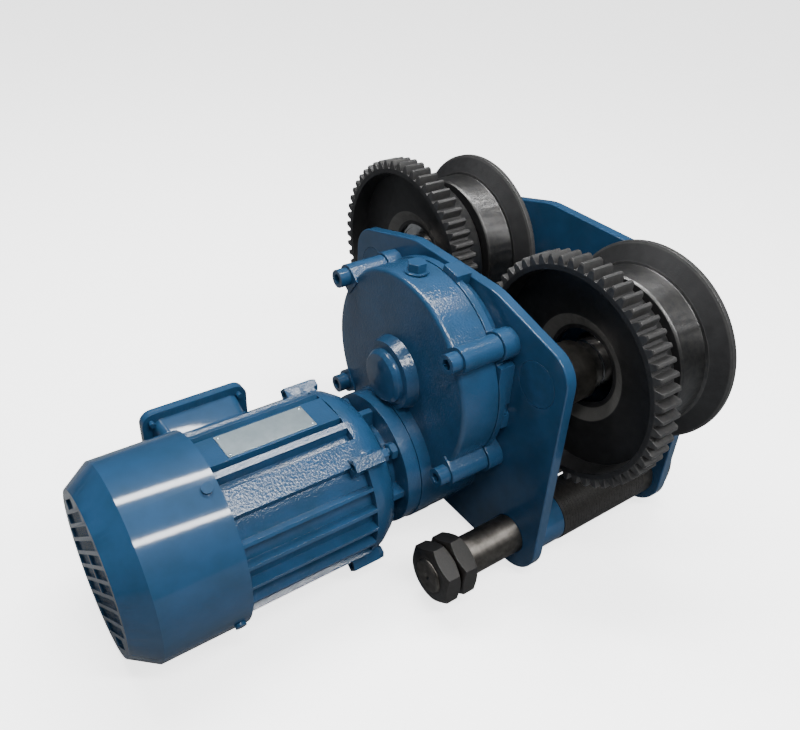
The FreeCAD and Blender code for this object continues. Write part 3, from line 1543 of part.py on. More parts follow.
def side_prism(near, far, y_half, z_half, corner):
    """A rounded block on the box side of the motor, between two distances from its axis."""
    centre = value("box_centre")
    block = Part.makeBox(far - near, 2 * y_half, 2 * z_half,
                         Vector(-far, centre - y_half, -z_half))
    if corner:
        edges = [e for e in block.Edges if e.BoundBox.XLength > (far - near) / 2]
        block = block.makeFillet(corner, edges)
    return block


def make_terminal_box():
    """The terminal box on the side of the motor, with its lid, screws and terminal board."""
    seat = value("box_seat + fixed_clearance")
    flange_back = value("box_flange_back")
    flange_face = value("box_flange_face")
    half_y = value("box_length / 2")
    half_z = value("box_height / 2")
    wall = value("box_wall")
    corner = value("box_corner_radius")
    outer_y = value("box_lid_length / 2")
    outer_z = value("box_lid_height / 2")
    narrow = rounded_rectangle(seat, half_y, half_z, corner * 0.6)
    flare = value("box_flare")
    grown = rounded_rectangle(flange_back, half_y + flare, half_z + flare, corner * 0.8)
    body = Part.makeLoft([narrow, grown], True)
    body = body.fuse(side_prism(flange_back, flange_face, outer_y, outer_z, corner))
    body = body.cut(side_prism(seat + wall, flange_face + 1, half_y - wall, half_z - wall,
                               value("box_inner_corner")))
    body = body.cut(side_prism(seat - 1, seat + wall + 1, value("wire_way_length / 2"),
                               value("wire_way_height / 2"), 0))
    middle = (seat + flange_back) / 2
    bottom = -half_z - value("entry_boss_length") - 2
    entry_at = Vector(-middle, value("box_centre"), bottom)
    through = -half_z + wall - bottom
    body = body.fuse(Part.makeCylinder(value("entry_boss_radius"), through, entry_at))
    body = body.cut(Part.makeCylinder(value("entry_radius"), through, entry_at))
    tip = flange_back - value("box_screw_bite")
    tapping = value("box_screw_radius + fixed_clearance")
    for y, z in box_screw_places():
        body = body.cut(peg_x(tapping, tip - 1, flange_face, y, z))
    loose_shape("terminal_box", body.removeSplitter(), "0", "motor_z")
    face = value("box_face")
    lid = side_prism(flange_face, face, outer_y, outer_z, corner)
    raised = [e for e in lid.Edges if is_near(e.BoundBox.XMax, "-box_face")]
    lid = lid.makeFillet(value("lid_edge_radius"), raised)
    screws = []
    for y, z in box_screw_places():
        lid = lid.cut(peg_x(value("box_screw_radius + screw_clearance"), flange_face, face, y, z))
        shank = peg_x(value("box_screw_radius"), tip, face, y, z)
        head = peg_x(value("box_screw_head"), face, face + value("box_screw_head_height"), y, z)
        screws.append(shank.fuse(head))
    loose_shape("terminal_box_lid", lid, "0", "motor_z")
    loose_shape("terminal_box_screws", Part.makeCompound(screws), "0", "motor_z")
    make_terminal_board(seat + wall)


def make_terminal_board(floor):
    """The terminal board on the floor of the box, with six studs."""
    half_y = value("board_length / 2")
    half_z = value("board_height / 2")
    top = floor + value("board_thickness")
    board = side_prism(floor, top, half_y, half_z, 2.0)
    radius = value("board_stud_radius")
    tip = top + value("board_stud_height")
    for row in (-0.5, 0.5):
        for column in (-1, 0, 1):
            y = value("box_centre + board_stud_pitch * " + str(column))
            z = value("board_row_pitch * " + str(row))
            board = board.fuse(peg_x(radius, top - 1, tip, y, z))
    loose_shape("terminal_board", board, "0", "motor_z")


def rounded_rectangle(distance, half_y, half_z, corner):
    """A closed wire with round corners, facing the box side of the motor."""
    block = side_prism(distance, distance + 1, half_y, half_z, corner)
    face = max(block.Faces, key=lambda f: f.CenterOfMass.x)
    return face.OuterWire


def peg_x(radius, near, far, y, z):
    """A cylinder along X on the box side of the motor."""
    return Part.makeCylinder(radius, far - near, Vector(-far, y, z), Vector(1, 0, 0))


def box_screw_places():
    """The four corners of the terminal box at which its lid is screwed down."""
    half_y = value("box_lid_length / 2 - box_screw_inset")
    half_z = value("box_lid_height / 2 - box_screw_inset")
    return [(value("box_centre") + sy * half_y, sz * half_z) for sy, sz in boss_signs()]


def make_name_plate():
    """A bare metal plate lying on the flat of the frame."""
    plate = doc.addObject("Part::Box", "name_plate_sheet")
    bind(plate, "Length", "name_plate_width")
    bind(plate, "Width", "name_plate_length")
    bind(plate, "Height", "name_plate_thickness")
    place(plate, "-name_plate_width / 2", "frame_front - name_plate_set_back - name_plate_length",
          "motor_z + name_pad_height")
    keep("name_plate", plate)


def check_and_export():
    """Stop on any failed object or shape, then write each sub-part to its own file."""
    for thing in doc.Objects:
        if {"Invalid", "Error"} & set(thing.State):
            raise RuntimeError(f"{thing.Label} failed: {thing.State}")
    os.makedirs("parts", exist_ok=True)
    for label, thing in nodes.items():
        shape = thing.Shape
        if shape.isNull() or not shape.isValid() or not shape.Solids:
            raise RuntimeError(f"{label} has no valid solid")
    for label, thing in nodes.items():
        thing.Shape.exportStep(f"parts/{label}.step")
        count = len(thing.Shape.Solids)
        print(f"{label}: {count} solid(s), {thing.Shape.Volume / 1000:.1f} cm3")


sheet = make_sheets()
make_side_plates()
make_rods()
make_axles()
make_wheel_bearings()
make_drive_wheels()
make_idle_wheels()
make_gearbox_base()
make_gasket()
make_gearbox_cover()
make_gearbox_fasteners()
make_filler_plug()
make_output_shaft()
make_motor_front_shield()
make_motor_frame()
make_motor_rear_shield()
make_motor_rotor()
make_fan()
make_fan_cover()
make_shield_fasteners()
make_terminal_box()
make_name_plate()
doc.recompute()
check_and_export()
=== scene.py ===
"""The finish of an electric beam trolley: enamel, castings, turned steel and small fittings."""

import json
import math

import bmesh
import bpy
from mathutils import Matrix, Vector


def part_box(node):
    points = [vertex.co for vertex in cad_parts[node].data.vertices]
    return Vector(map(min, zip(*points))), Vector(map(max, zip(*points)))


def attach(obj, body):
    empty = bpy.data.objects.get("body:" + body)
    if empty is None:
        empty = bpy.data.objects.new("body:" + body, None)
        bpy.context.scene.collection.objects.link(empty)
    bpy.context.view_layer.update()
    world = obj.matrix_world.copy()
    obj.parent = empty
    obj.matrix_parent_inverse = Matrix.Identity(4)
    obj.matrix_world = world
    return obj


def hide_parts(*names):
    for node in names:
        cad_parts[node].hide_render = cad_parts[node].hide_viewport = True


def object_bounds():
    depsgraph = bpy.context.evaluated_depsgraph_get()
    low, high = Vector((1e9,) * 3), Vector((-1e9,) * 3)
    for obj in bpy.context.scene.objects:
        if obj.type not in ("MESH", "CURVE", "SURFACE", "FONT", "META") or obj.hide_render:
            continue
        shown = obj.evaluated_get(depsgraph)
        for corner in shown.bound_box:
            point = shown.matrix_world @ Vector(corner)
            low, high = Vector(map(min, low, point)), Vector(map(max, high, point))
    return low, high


bl_info = {
    "name": "Beam trolley finish",
    "version": (1, 0, 0),
    "blender": (4, 5, 0),
    "location": "3D View > Sidebar > Trolley",
    "description": "Dresses the frame of an electric beam trolley with its real surfaces",
    "category": "Object",
}

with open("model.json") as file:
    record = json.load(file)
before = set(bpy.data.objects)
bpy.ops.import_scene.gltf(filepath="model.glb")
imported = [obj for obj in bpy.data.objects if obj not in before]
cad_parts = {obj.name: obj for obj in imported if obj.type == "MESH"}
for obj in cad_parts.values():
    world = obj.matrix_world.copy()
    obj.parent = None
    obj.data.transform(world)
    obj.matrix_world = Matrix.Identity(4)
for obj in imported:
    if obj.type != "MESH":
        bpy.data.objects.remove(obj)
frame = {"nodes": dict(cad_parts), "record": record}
CAD_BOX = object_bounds()

MM = 0.001
FLOAT = "NodeSocketFloat"

# Places on the frame that patterns and small pieces follow.
AXLE_X = 0.110
AXLE_Z = 0.067
MOTOR_LOW, MOTOR_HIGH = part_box("fan_cover")
MOTOR_Z = (MOTOR_LOW.z + MOTOR_HIGH.z) / 2
COVER_END_Y = MOTOR_LOW.y
PLATE_FRONT_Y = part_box("drive_side_plate")[0].y
PLATE_BACK_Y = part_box("idle_side_plate")[1].y
PLATES_MID_Y = (PLATE_FRONT_Y + PLATE_BACK_Y) / 2
# The paint on an axle's end starts just inside the outer face of its plate.
PAINT_LAP = 0.3 * MM
PAINT_REACH = (PLATE_BACK_Y - PLATE_FRONT_Y) / 2 - PAINT_LAP

# Where a wheel is worn or machined, in metres: a band of radius and a band of Y, each as its
# low end, its high end and how softly it ends.
TREAD = ((0.0655, 0.0695, 0.0003), (-0.0322, 0.0322, 0.0002))
TEETH = ((0.0868, 0.1200, 0.0006), (-0.0535, -0.0316, 0.0001))
CONE = ((0.0345, 0.0442, 0.0003), (-0.0362, -0.0306, 0.0002))
RIM = ((0.0815, 0.0846, 0.0004), (0.0400, 0.0470, 0.0003))
# How far the paint is worn off the teeth and the rim.
PART_WORN = 0.6

# How broken up a noise is: its detail, and how strong the finer lumps are.
SMOOTH = (2.0, 0.5)
GRAINY = (3.0, 0.6)
CLOUDY = (4.0, 0.6)
CRUSTED = (5.0, 0.65)
# The enamel's shade drifts over this distance.
MOTTLE_MM = 26.0
# Scales that draw a noise out into marks round the Y axis, on bars and on cast wheels.
TURNED = (0.08, 1.0, 0.08)
ROUGH_TURNED = (0.15, 6.0, 0.15)

# Merging of a CAD node's loose triangles, and the angle from which an edge stays sharp.
MERGE_DISTANCE = 0.004 * MM
FLAT_ANGLE = math.radians(0.6)
SHARP_ANGLE = math.radians(32)

RIPPLE_SHAPE = (1.0, 1.0, 0.55)
RIVET_SHAPE = (1.0, 1.0, 0.5)
RIVET_INSET = 2.6 * MM
# The radius of a thread's ridge, as a share of its pitch.
RIDGE_SHARE = 0.42
THREAD_RADIUS = 14.1 * MM
THREAD_BARE_TIP = 1.5 * MM
THREAD_UNDER_NUT = 1.0 * MM
GUARD_WIRE = 0.8 * MM
# Two crossed layers of bars: name, angle in degrees and depth behind the end of the cover.
GUARD_LAYERS = (("one", 12, 2.0 * MM), ("two", -78, 2.8 * MM))

CAMERA_AT = Vector((0.44123, -0.46011, 0.41491))
CAMERA_AIM = Vector((0.01285, -0.13647, 0.04851))
CAMERA_ROLL = math.radians(3.25)
CAMERA_LENS = 35.99

FLOOR_REACH = 6.0
PAPER_DROP = 0.5 * MM
BENCH_DROP = PAPER_DROP + 1.0 * MM
PAPER_GLOW = 2.4
SKY_STRENGTH = 0.1
CEILING_AT = (0.1, 0.4, 2.2)
CEILING_SIZE = (3.0, 3.0)
# Soft fill lamps: name, place and share of the ceiling's power.
FILLS = (("fill_right", (1.5, 0.0, 0.35), 0.45), ("fill_front", (0.7, -1.3, 0.9), 0.18))
FILL_AIM = (0.0, -0.1, 0.05)
FILL_SIZE = (1.6, 1.6)
# Long tubes, which draw the glints in the enamel.
TUBES = (("tube_left", (-0.27, -0.12, 1.1)), ("tube_right", (0.80, -0.08, 1.1)))
TUBE_SIZE = (0.13, 1.2)
TUBE_YAW = math.radians(-35)
TUBE_SHARE = 0.9

ENAMELLED_CASTINGS = (
    "gearbox_base", "gearbox_cover", "motor_front_shield", "motor_frame", "motor_rear_shield",
)
ENAMELLED_PLATES = (
    "drive_side_plate", "idle_side_plate", "rod_sleeve_left", "rod_sleeve_right",
)
ENAMELLED_SHEET = ("fan_cover", "terminal_box", "terminal_box_lid", "bearing_cap")
ENAMELLED_SCREWS = (
    "cover_screws", "end_shield_bolts", "flange_nuts", "flange_studs", "fan_cover_screws",
    "terminal_box_screws", "filler_plug",
)
WHEELS = ("drive_wheel_left", "drive_wheel_right", "idle_wheel_left", "idle_wheel_right")
BLACKENED = ("adjusting_nuts", "lock_nuts", "rod_end_nuts", "rod_end_washers", "axle_circlips")
RODS = ("cross_rod_left", "cross_rod_right")
AXLES = ("drive_axle_left", "drive_axle_right", "idle_axle_left", "idle_axle_right")
WASHERS = ("spacer_washers_left", "spacer_washers_right")
# Welded pieces, the plate of each and the face that the bead lies on: 0 its front, 1 its back.
WELDS = (
    ("rod_sleeve_left", "drive_side_plate", 1), ("rod_sleeve_right", "drive_side_plate", 1),
    ("drive_axle_left", "drive_side_plate", 1), ("drive_axle_right", "drive_side_plate", 1),
    ("idle_axle_left", "idle_side_plate", 0), ("idle_axle_right", "idle_side_plate", 0),
)
INNER = {
    "hobbed steel": ("output_pinion_shaft", "output_gear", "output_gear_key", "motor_shaft"),
    "ground bearing steel": (
        "drive_bearing_left", "drive_bearing_right", "idle_bearing_left", "idle_bearing_right",
        "output_front_bearing", "output_rear_bearing", "motor_front_bearing", "motor_rear_bearing",
    ),
    "lamination steel": ("stator_core", "rotor_core"),
    "lacquered copper winding": ("stator_windings",),
    "moulded nylon": ("cooling_fan", "terminal_board"),
    "nitrile rubber": ("output_shaft_seal",),
    "gasket paper": ("gearbox_gasket",),
}


def linear(colour):
    """A hex sRGB colour as linear RGBA."""
    channels = [int(colour[k:k + 2], 16) / 255 for k in (1, 3, 5)]
    return tuple(c / 12.92 if c <= 0.04045 else ((c + 0.055) / 1.055) ** 2.4
                 for c in channels) + (1.0,)


def set_inputs(tree, node, inputs):
    """Link each input that is given as a socket, and set each one that is given as a value."""
    for name, given in inputs.items():
        if isinstance(given, bpy.types.NodeSocket):
            tree.links.new(given, node.inputs[name])
        else:
            node.inputs[name].default_value = given


def add_node(tree, kind, inputs=None, stops=(), **settings):
    """Add one node with its inputs, its ramp's stops (a place and a colour) and its settings."""
    node = tree.nodes.new(kind)
    for name, setting in settings.items():
        setattr(node, name, setting)
    for k, (place, colour) in enumerate(stops):
        node.color_ramp.elements[k].position = place
        node.color_ramp.elements[k].color = linear(colour)
    set_inputs(tree, node, inputs or {})
    return node


def new_material(name, values):
    """Start a material from its shader's values, and give back its tree and its shader."""
    material = bpy.data.materials.new(name)
    if material.name != name:
        raise RuntimeError(f"the finish {name} is there already")
    material.use_nodes = True
    tree = material.node_tree
    shader = tree.nodes["Principled BSDF"]
    set_inputs(tree, shader, values)
    return tree, shader


def lumps(place, size_mm, broken):
    """The inputs of a noise whose lumps are about this many millimetres across."""
    detail, roughness = broken
    return {"Vector": place, "Scale": 1000.0 / size_mm, "Detail": detail, "Roughness": roughness}


def turned_marks(tree, place, size_mm, drawn_out):
    """The height of fine marks that run round the Y axis."""
    along = add_node(tree, "ShaderNodeMapping", {"Vector": place, "Scale": drawn_out})
    marks = add_node(tree, "ShaderNodeTexNoise", lumps(along.outputs["Vector"], size_mm, SMOOTH))
    return marks.outputs["Fac"]


def make_enamel(name, colours, roughness, peel_mm, peel_depth_mm, grain_mm, grain_depth_mm):
    """Blue stoving enamel. The coat gives sharp lamp glints, and the peel breaks them up."""
    tree, shader = new_material(name, {
        "Roughness": roughness, "IOR": 1.5, "Specular IOR Level": 0.1, "Coat Weight": 1.0,
        "Coat Roughness": 0.1, "Coat IOR": 1.5})
    place = add_node(tree, "ShaderNodeTexCoord").outputs["Object"]
    clouds = add_node(tree, "ShaderNodeTexNoise", lumps(place, MOTTLE_MM, CLOUDY))
    shade = add_node(tree, "ShaderNodeValToRGB", {"Fac": clouds.outputs["Fac"]},
                     stops=((0.3, colours.enamel_dark), (0.7, colours.enamel_light)))
    peel = add_node(tree, "ShaderNodeTexNoise", lumps(place, peel_mm, SMOOTH))
    grain = add_node(tree, "ShaderNodeTexNoise", lumps(place, grain_mm, GRAINY))
    waves = add_node(tree, "ShaderNodeBump", {
        "Height": peel.outputs["Fac"], "Distance": peel_depth_mm * MM, "Strength": 1.0})
    skin = add_node(tree, "ShaderNodeBump", {
        "Height": grain.outputs["Fac"], "Distance": grain_depth_mm * MM, "Strength": 1.0,
        "Normal": waves.outputs["Normal"]})
    set_inputs(tree, shader, {"Base Color": shade.outputs["Color"],
                              "Normal": skin.outputs["Normal"],
                              "Coat Normal": skin.outputs["Normal"]})


def make_axle(colours):
    """Turned steel between the plates, with the welded end painted over like its plate."""
    tree, shader = new_material("turned axle steel", {"Roughness": 0.3, "IOR": 1.5})
    place = add_node(tree, "ShaderNodeTexCoord").outputs["Object"]
    across = add_node(tree, "ShaderNodeSeparateXYZ", {"Vector": place}).outputs["Y"]
    offset = add_node(tree, "ShaderNodeMath", {0: across, 1: PLATES_MID_Y}, operation="SUBTRACT")
    reach = add_node(tree, "ShaderNodeMath", {0: offset.outputs[0]}, operation="ABSOLUTE")
    bare = add_node(tree, "ShaderNodeMath", {0: reach.outputs[0], 1: PAINT_REACH},
                    operation="LESS_THAN").outputs[0]
    clouds = add_node(tree, "ShaderNodeTexNoise", lumps(place, 7.0, CLOUDY)).outputs["Fac"]
    steel = add_node(tree, "ShaderNodeValToRGB", {"Fac": clouds},
                     stops=((0.3, "#77736f"), (0.72, "#95918c")))
    enamel = add_node(tree, "ShaderNodeValToRGB", {"Fac": clouds},
                      stops=((0.3, colours.enamel_dark), (0.7, colours.enamel_light)))
    colour = add_node(tree, "ShaderNodeMix", {
        "Factor": bare, "A": enamel.outputs["Color"], "B": steel.outputs["Color"]},
        data_type="RGBA")
    skin = add_node(tree, "ShaderNodeBump", {
        "Height": turned_marks(tree, place, 0.7, TURNED), "Distance": 0.02 * MM, "Strength": 0.7})
    set_inputs(tree, shader, {"Base Color": colour.outputs["Result"], "Metallic": bare,
                              "Normal": skin.outputs["Normal"]})


def add_band(tree, value, low, high, soft):
    """Add a mask that is 1 from low to high and fades softly at both ends."""
    rise = add_node(tree, "ShaderNodeMapRange", {
        "Value": value, "From Min": low - soft, "From Max": low + soft})
    fall = add_node(tree, "ShaderNodeMapRange", {
        "Value": value, "From Min": high - soft, "From Max": high + soft,
        "To Min": 1.0, "To Max": 0.0})
    both = add_node(tree, "ShaderNodeMath", {0: rise.outputs[0], 1: fall.outputs[0]},
                    operation="MULTIPLY")
    return both.outputs[0]


def add_zone(tree, radius, across, zone):
    """Add the mask of one zone of a wheel, where its band of radius and its band of Y meet."""
    ring, width = zone
    both = add_node(tree, "ShaderNodeMath", {
        0: add_band(tree, radius, *ring), 1: add_band(tree, across, *width)},
        operation="MULTIPLY")
    return both.outputs[0]


def make_cast_wheel():
    """Black paint on cast iron, worn and machined bright where the beam and the pinion run."""
    tree, shader = new_material("black-painted cast iron", {"IOR": 1.5})
    place = add_node(tree, "ShaderNodeTexCoord").outputs["Object"]
    split = add_node(tree, "ShaderNodeSeparateXYZ", {"Vector": place})
    along = add_node(tree, "ShaderNodeMath", {0: split.outputs["X"]}, operation="ABSOLUTE")
    from_axle = add_node(tree, "ShaderNodeMath", {0: along.outputs[0], 1: AXLE_X},
                         operation="SUBTRACT")
    from_centre = add_node(tree, "ShaderNodeMath", {0: split.outputs["Z"], 1: AXLE_Z},
                           operation="SUBTRACT")
    flat = add_node(tree, "ShaderNodeCombineXYZ", {"X": from_axle.outputs[0],
                                                   "Y": from_centre.outputs[0]})
    radius = add_node(tree, "ShaderNodeVectorMath", {0: flat.outputs[0]}, operation="LENGTH")
    tread, teeth, cone, rim = (
        add_zone(tree, radius.outputs["Value"], split.outputs["Y"], zone)
        for zone in (TREAD, TEETH, CONE, RIM))
    half = add_node(tree, "ShaderNodeMath", {0: teeth, 1: rim}, operation="MAXIMUM").outputs[0]
    worn = add_node(tree, "ShaderNodeMath", {0: half, 1: PART_WORN}, operation="MULTIPLY")
    bare = add_node(tree, "ShaderNodeMath", {0: tread, 1: worn.outputs[0]},
                    operation="MAXIMUM").outputs[0]
    crust = add_node(tree, "ShaderNodeTexNoise", lumps(place, 9.0, CRUSTED))
    black = add_node(tree, "ShaderNodeValToRGB", {"Fac": crust.outputs["Fac"]},
                     stops=((0.3, "#151516"), (0.75, "#222223")))
    clouds = add_node(tree, "ShaderNodeTexNoise", lumps(place, 5.0, CLOUDY))
    steel = add_node(tree, "ShaderNodeValToRGB", {"Fac": clouds.outputs["Fac"]},
                     stops=((0.3, "#545455"), (0.75, "#666563")))
    worked = add_node(tree, "ShaderNodeMix", {
        "Factor": bare, "A": black.outputs["Color"], "B": steel.outputs["Color"]},
        data_type="RGBA")
    # The turned cone round the bearing is open-grained iron, pale and dull.
    colour = add_node(tree, "ShaderNodeMix", {
        "Factor": cone, "A": worked.outputs["Result"], "B": linear("#565553")}, data_type="RGBA")
    rough = add_node(tree, "ShaderNodeMapRange", {"Value": bare, "To Min": 0.52, "To Max": 0.38})
    grain = add_node(tree, "ShaderNodeTexNoise", lumps(place, 1.3, GRAINY))
    cast_skin = add_node(tree, "ShaderNodeBump", {
        "Height": grain.outputs["Fac"], "Distance": 0.12 * MM, "Strength": 0.8})
    skin = add_node(tree, "ShaderNodeBump", {
        "Height": turned_marks(tree, place, 2.4, ROUGH_TURNED), "Distance": 0.02 * MM,
        "Strength": 0.5, "Normal": cast_skin.outputs["Normal"]})
    set_inputs(tree, shader, {"Base Color": colour.outputs["Result"], "Metallic": bare,
                              "Roughness": rough.outputs[0], "Normal": skin.outputs["Normal"]})


def make_metal(name, dark, light, roughness, lump_mm=6.0, groove_mm=0.8, depth_mm=0.015):
    """Machined or rolled metal with fine marks that run round its turning axis."""
    tree, shader = new_material(name, {"Roughness": roughness, "Metallic": 1.0})
    place = add_node(tree, "ShaderNodeTexCoord").outputs["Object"]
    clouds = add_node(tree, "ShaderNodeTexNoise", lumps(place, lump_mm, CLOUDY))
    shade = add_node(tree, "ShaderNodeValToRGB", {"Fac": clouds.outputs["Fac"]},
                     stops=((0.3, dark), (0.72, light)))
    skin = add_node(tree, "ShaderNodeBump", {
        "Height": turned_marks(tree, place, groove_mm, TURNED), "Distance": depth_mm * MM,
        "Strength": 0.7})
    set_inputs(tree, shader, {"Base Color": shade.outputs["Color"],
                              "Normal": skin.outputs["Normal"]})


def make_plain(name, dark, light, roughness, lump_mm, depth_mm):
    """A moulded or pressed material without metal, with a slightly uneven skin."""
    tree, shader = new_material(name, {"Roughness": roughness, "IOR": 1.5})
    place = add_node(tree, "ShaderNodeTexCoord").outputs["Object"]
    height = add_node(tree, "ShaderNodeTexNoise", lumps(place, lump_mm, GRAINY)).outputs["Fac"]
    shade = add_node(tree, "ShaderNodeValToRGB", {"Fac": height},
                     stops=((0.3, dark), (0.7, light)))
    skin = add_node(tree, "ShaderNodeBump", {
        "Height": height, "Distance": depth_mm * MM, "Strength": 0.6})
    set_inputs(tree, shader, {"Base Color": shade.outputs["Color"],
                              "Normal": skin.outputs["Normal"]})


def make_materials(colours):
    """Make every finish of the trolley, each named for the real material."""
    # The skin of a sand casting shows through thick enamel as a coarse sparkle. Its sand grains
    # are under 0.5 mm across, and are drawn larger here so that they show.
    make_enamel("gloss enamel on sand-cast iron", colours, 0.5, peel_mm=1.8, peel_depth_mm=0.28,
                grain_mm=0.8, grain_depth_mm=0.08)
    # Flame-cut plate is flatter, with a gentle orange peel.
    make_enamel("gloss enamel on flame-cut plate", colours, 0.5, peel_mm=4.5, peel_depth_mm=0.07,
                grain_mm=1.6, grain_depth_mm=0.02)
    # Pressed sheet gives long, clean lamp streaks.
    make_enamel("gloss enamel on pressed sheet", colours, 0.5, peel_mm=7.0, peel_depth_mm=0.02,
                grain_mm=2.2, grain_depth_mm=0.005)
    # Screws are painted in place, with a thin coat that leaves their edges crisp.
    make_enamel("gloss enamel on steel screws", colours, 0.45, peel_mm=3.0, peel_depth_mm=0.03,
                grain_mm=0.9, grain_depth_mm=0.02)
    make_cast_wheel()
    make_axle(colours)
    # Oil-blackened nuts keep a faint brown sheen.
    make_plain("oil-blackened steel", "#121110", "#1f1d1b", 0.36, lump_mm=1.6, depth_mm=0.03)
    # Turned bar has fine rings round the rod, and is dull grey. The marks of the tool are about
    # 0.2 mm apart, and are drawn wider on every turned metal here so that they show.
    make_metal("turned bright bar", "#56534f", "#75716c", 0.46, lump_mm=8.0, groove_mm=0.7,
               depth_mm=0.02)
    # Stamped washers are brown-black and dull, with a slight mottle.
    make_plain("oxidised steel washers", "#141312", "#282624", 0.42, lump_mm=2.4, depth_mm=0.04)
    # Cut gear teeth are a mid grey with an oily shine.
    make_metal("hobbed steel", "#4a4a4b", "#6c6b6a", 0.28)
    # Ground rings are the brightest metal on the trolley.
    make_metal("ground bearing steel", "#8f9091", "#b0b0b0", 0.18)
    # The stacked sheets of the motor's cores are a soft grey with fine lines.
    make_metal("lamination steel", "#4f4f50", "#70706f", 0.4, lump_mm=4.0, groove_mm=0.5,
               depth_mm=0.03)
    # The bare name plate is pale, with a satin sheen.
    make_metal("satin aluminium sheet", "#9cabb2", "#b4c2c8", 0.42, lump_mm=14.0, groove_mm=0.5,
               depth_mm=0.006)
    # Lacquer over wound wire gives a red-brown, lumpy shine.
    make_plain("lacquered copper winding", "#5e2a14", "#8a4524", 0.35, lump_mm=1.2, depth_mm=0.2)
    # Nylon is black, with the faint grain of its mould.
    make_plain("moulded nylon", "#0c0c0d", "#171718", 0.45, lump_mm=2.0, depth_mm=0.03)
    # Rubber is black and matt.
    make_plain("nitrile rubber", "#0b0b0b", "#151515", 0.7, lump_mm=1.5, depth_mm=0.03)
    # Gasket paper is dark, dry and without shine.
    make_plain("gasket paper", "#211f1c", "#35322d", 0.85, lump_mm=1.0, depth_mm=0.04)


def finish(name):
    """The material of this name, made by the first operator."""
    material = bpy.data.materials.get(name)
    if material is None:
        raise RuntimeError(f"the finish {name} isn't made yet")
    return material


def body_and_slot(node):
    """The body that a CAD node rides on and its material slot in the record."""
    record = frame["record"]
    body = next(b for b, members in record["behaviour"]["bodies"].items() if node in members)
    slot = next(s["material_slot"] for s in record["subparts"] if s["node"] == node)
    return body, slot


def paint(node, material):
    """Give a CAD node its finish where it is."""
    mesh = frame["nodes"][node].data
    mesh.materials.clear()
    mesh.materials.append(material)


def new_piece(name, mesh, material):
    """Add one object at the origin, as every piece stands, with its finish."""
    piece = bpy.data.objects.new(name, mesh)
    bpy.context.scene.collection.objects.link(piece)
    mesh.materials.clear()
    mesh.materials.append(material)
    return piece


def evaluated_mesh(holder):
    """The plain mesh that an object's modifiers make."""
    graph = bpy.context.evaluated_depsgraph_get()
    graph.update()
    return bpy.data.meshes.new_from_object(holder.evaluated_get(graph), depsgraph=graph)


def dress(node, material, edge_mm):
    """Stand a merged, softly edged copy in for a CAD node, and let it ride where the node does."""
    work = bmesh.new()
    work.from_mesh(frame["nodes"][node].data)
    bmesh.ops.remove_doubles(work, verts=work.verts, dist=MERGE_DISTANCE)
    bmesh.ops.dissolve_limit(work, angle_limit=FLAT_ANGLE, verts=work.verts, edges=work.edges)
    mesh = bpy.data.meshes.new(node + "_finish")
    work.to_mesh(mesh)
    work.free()
    mesh.polygons.foreach_set("use_smooth", [True] * len(mesh.polygons))
    mesh.set_sharp_from_angle(angle=SHARP_ANGLE)
    piece = new_piece(node + "_finish", mesh, material)
    bevel = piece.modifiers.new("edge", "BEVEL")
    bevel.width = edge_mm * MM
    bevel.segments = 2
    bevel.limit_method = "ANGLE"
    bevel.angle_limit = SHARP_ANGLE
    bevel.harden_normals = True
    bevel.use_clamp_overlap = True
    baked = evaluated_mesh(piece)
    piece.modifiers.clear()
    piece.data = baked
    bpy.data.meshes.remove(mesh)
    body, slot = body_and_slot(node)
    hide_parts(node)
    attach(piece, body)


def dress_all(nodes, name, edge_mm):
    """Dress these CAD nodes in one finish, with edges rounded by this many millimetres."""
    for node in nodes:
        dress(node, finish(name), edge_mm)


def grow(name, tree, values, material):
    """Run a geometry tree on an empty mesh, and add its result as a plain mesh on the frame."""
    holder = bpy.data.objects.new(name, bpy.data.meshes.new(name))
    bpy.context.scene.collection.objects.link(holder)
    modifier = holder.modifiers.new("grow", "NODES")
    modifier.node_group = tree
    for item in tree.interface.items_tree:
        if item.item_type == "SOCKET" and item.in_out == "INPUT" and item.name in values:
            modifier[item.identifier] = values[item.name]
    mesh = evaluated_mesh(holder)
    holder.modifiers.clear()
    bpy.data.objects.remove(holder)
    if not mesh.polygons:
        raise RuntimeError(f"{name} came out empty")
    mesh.name = name
    piece = new_piece(name, mesh, material)
    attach(piece, "frame")
    return piece


def new_tree(name, inputs):
    """Start a geometry tree with named inputs, each a name, a socket kind and a default."""
    tree = bpy.data.node_groups.new(name, "GeometryNodeTree")
    tree.interface.new_socket("Geometry", in_out="OUTPUT", socket_type="NodeSocketGeometry")
    for label, kind, default in inputs:
        socket = tree.interface.new_socket(label, in_out="INPUT", socket_type=kind)
        socket.default_value = default
    return tree, add_node(tree, "NodeGroupInput"), add_node(tree, "NodeGroupOutput")


def end_tree(tree, outlet, geometry, material):
    """Close a geometry tree with real meshes and their material."""
    real = add_node(tree, "GeometryNodeRealizeInstances", {"Geometry": geometry})
    shown = add_node(tree, "GeometryNodeSetMaterial", {"Geometry": real.outputs[0],
                                                       "Material": material})
    tree.links.new(shown.outputs[0], outlet.inputs[0])


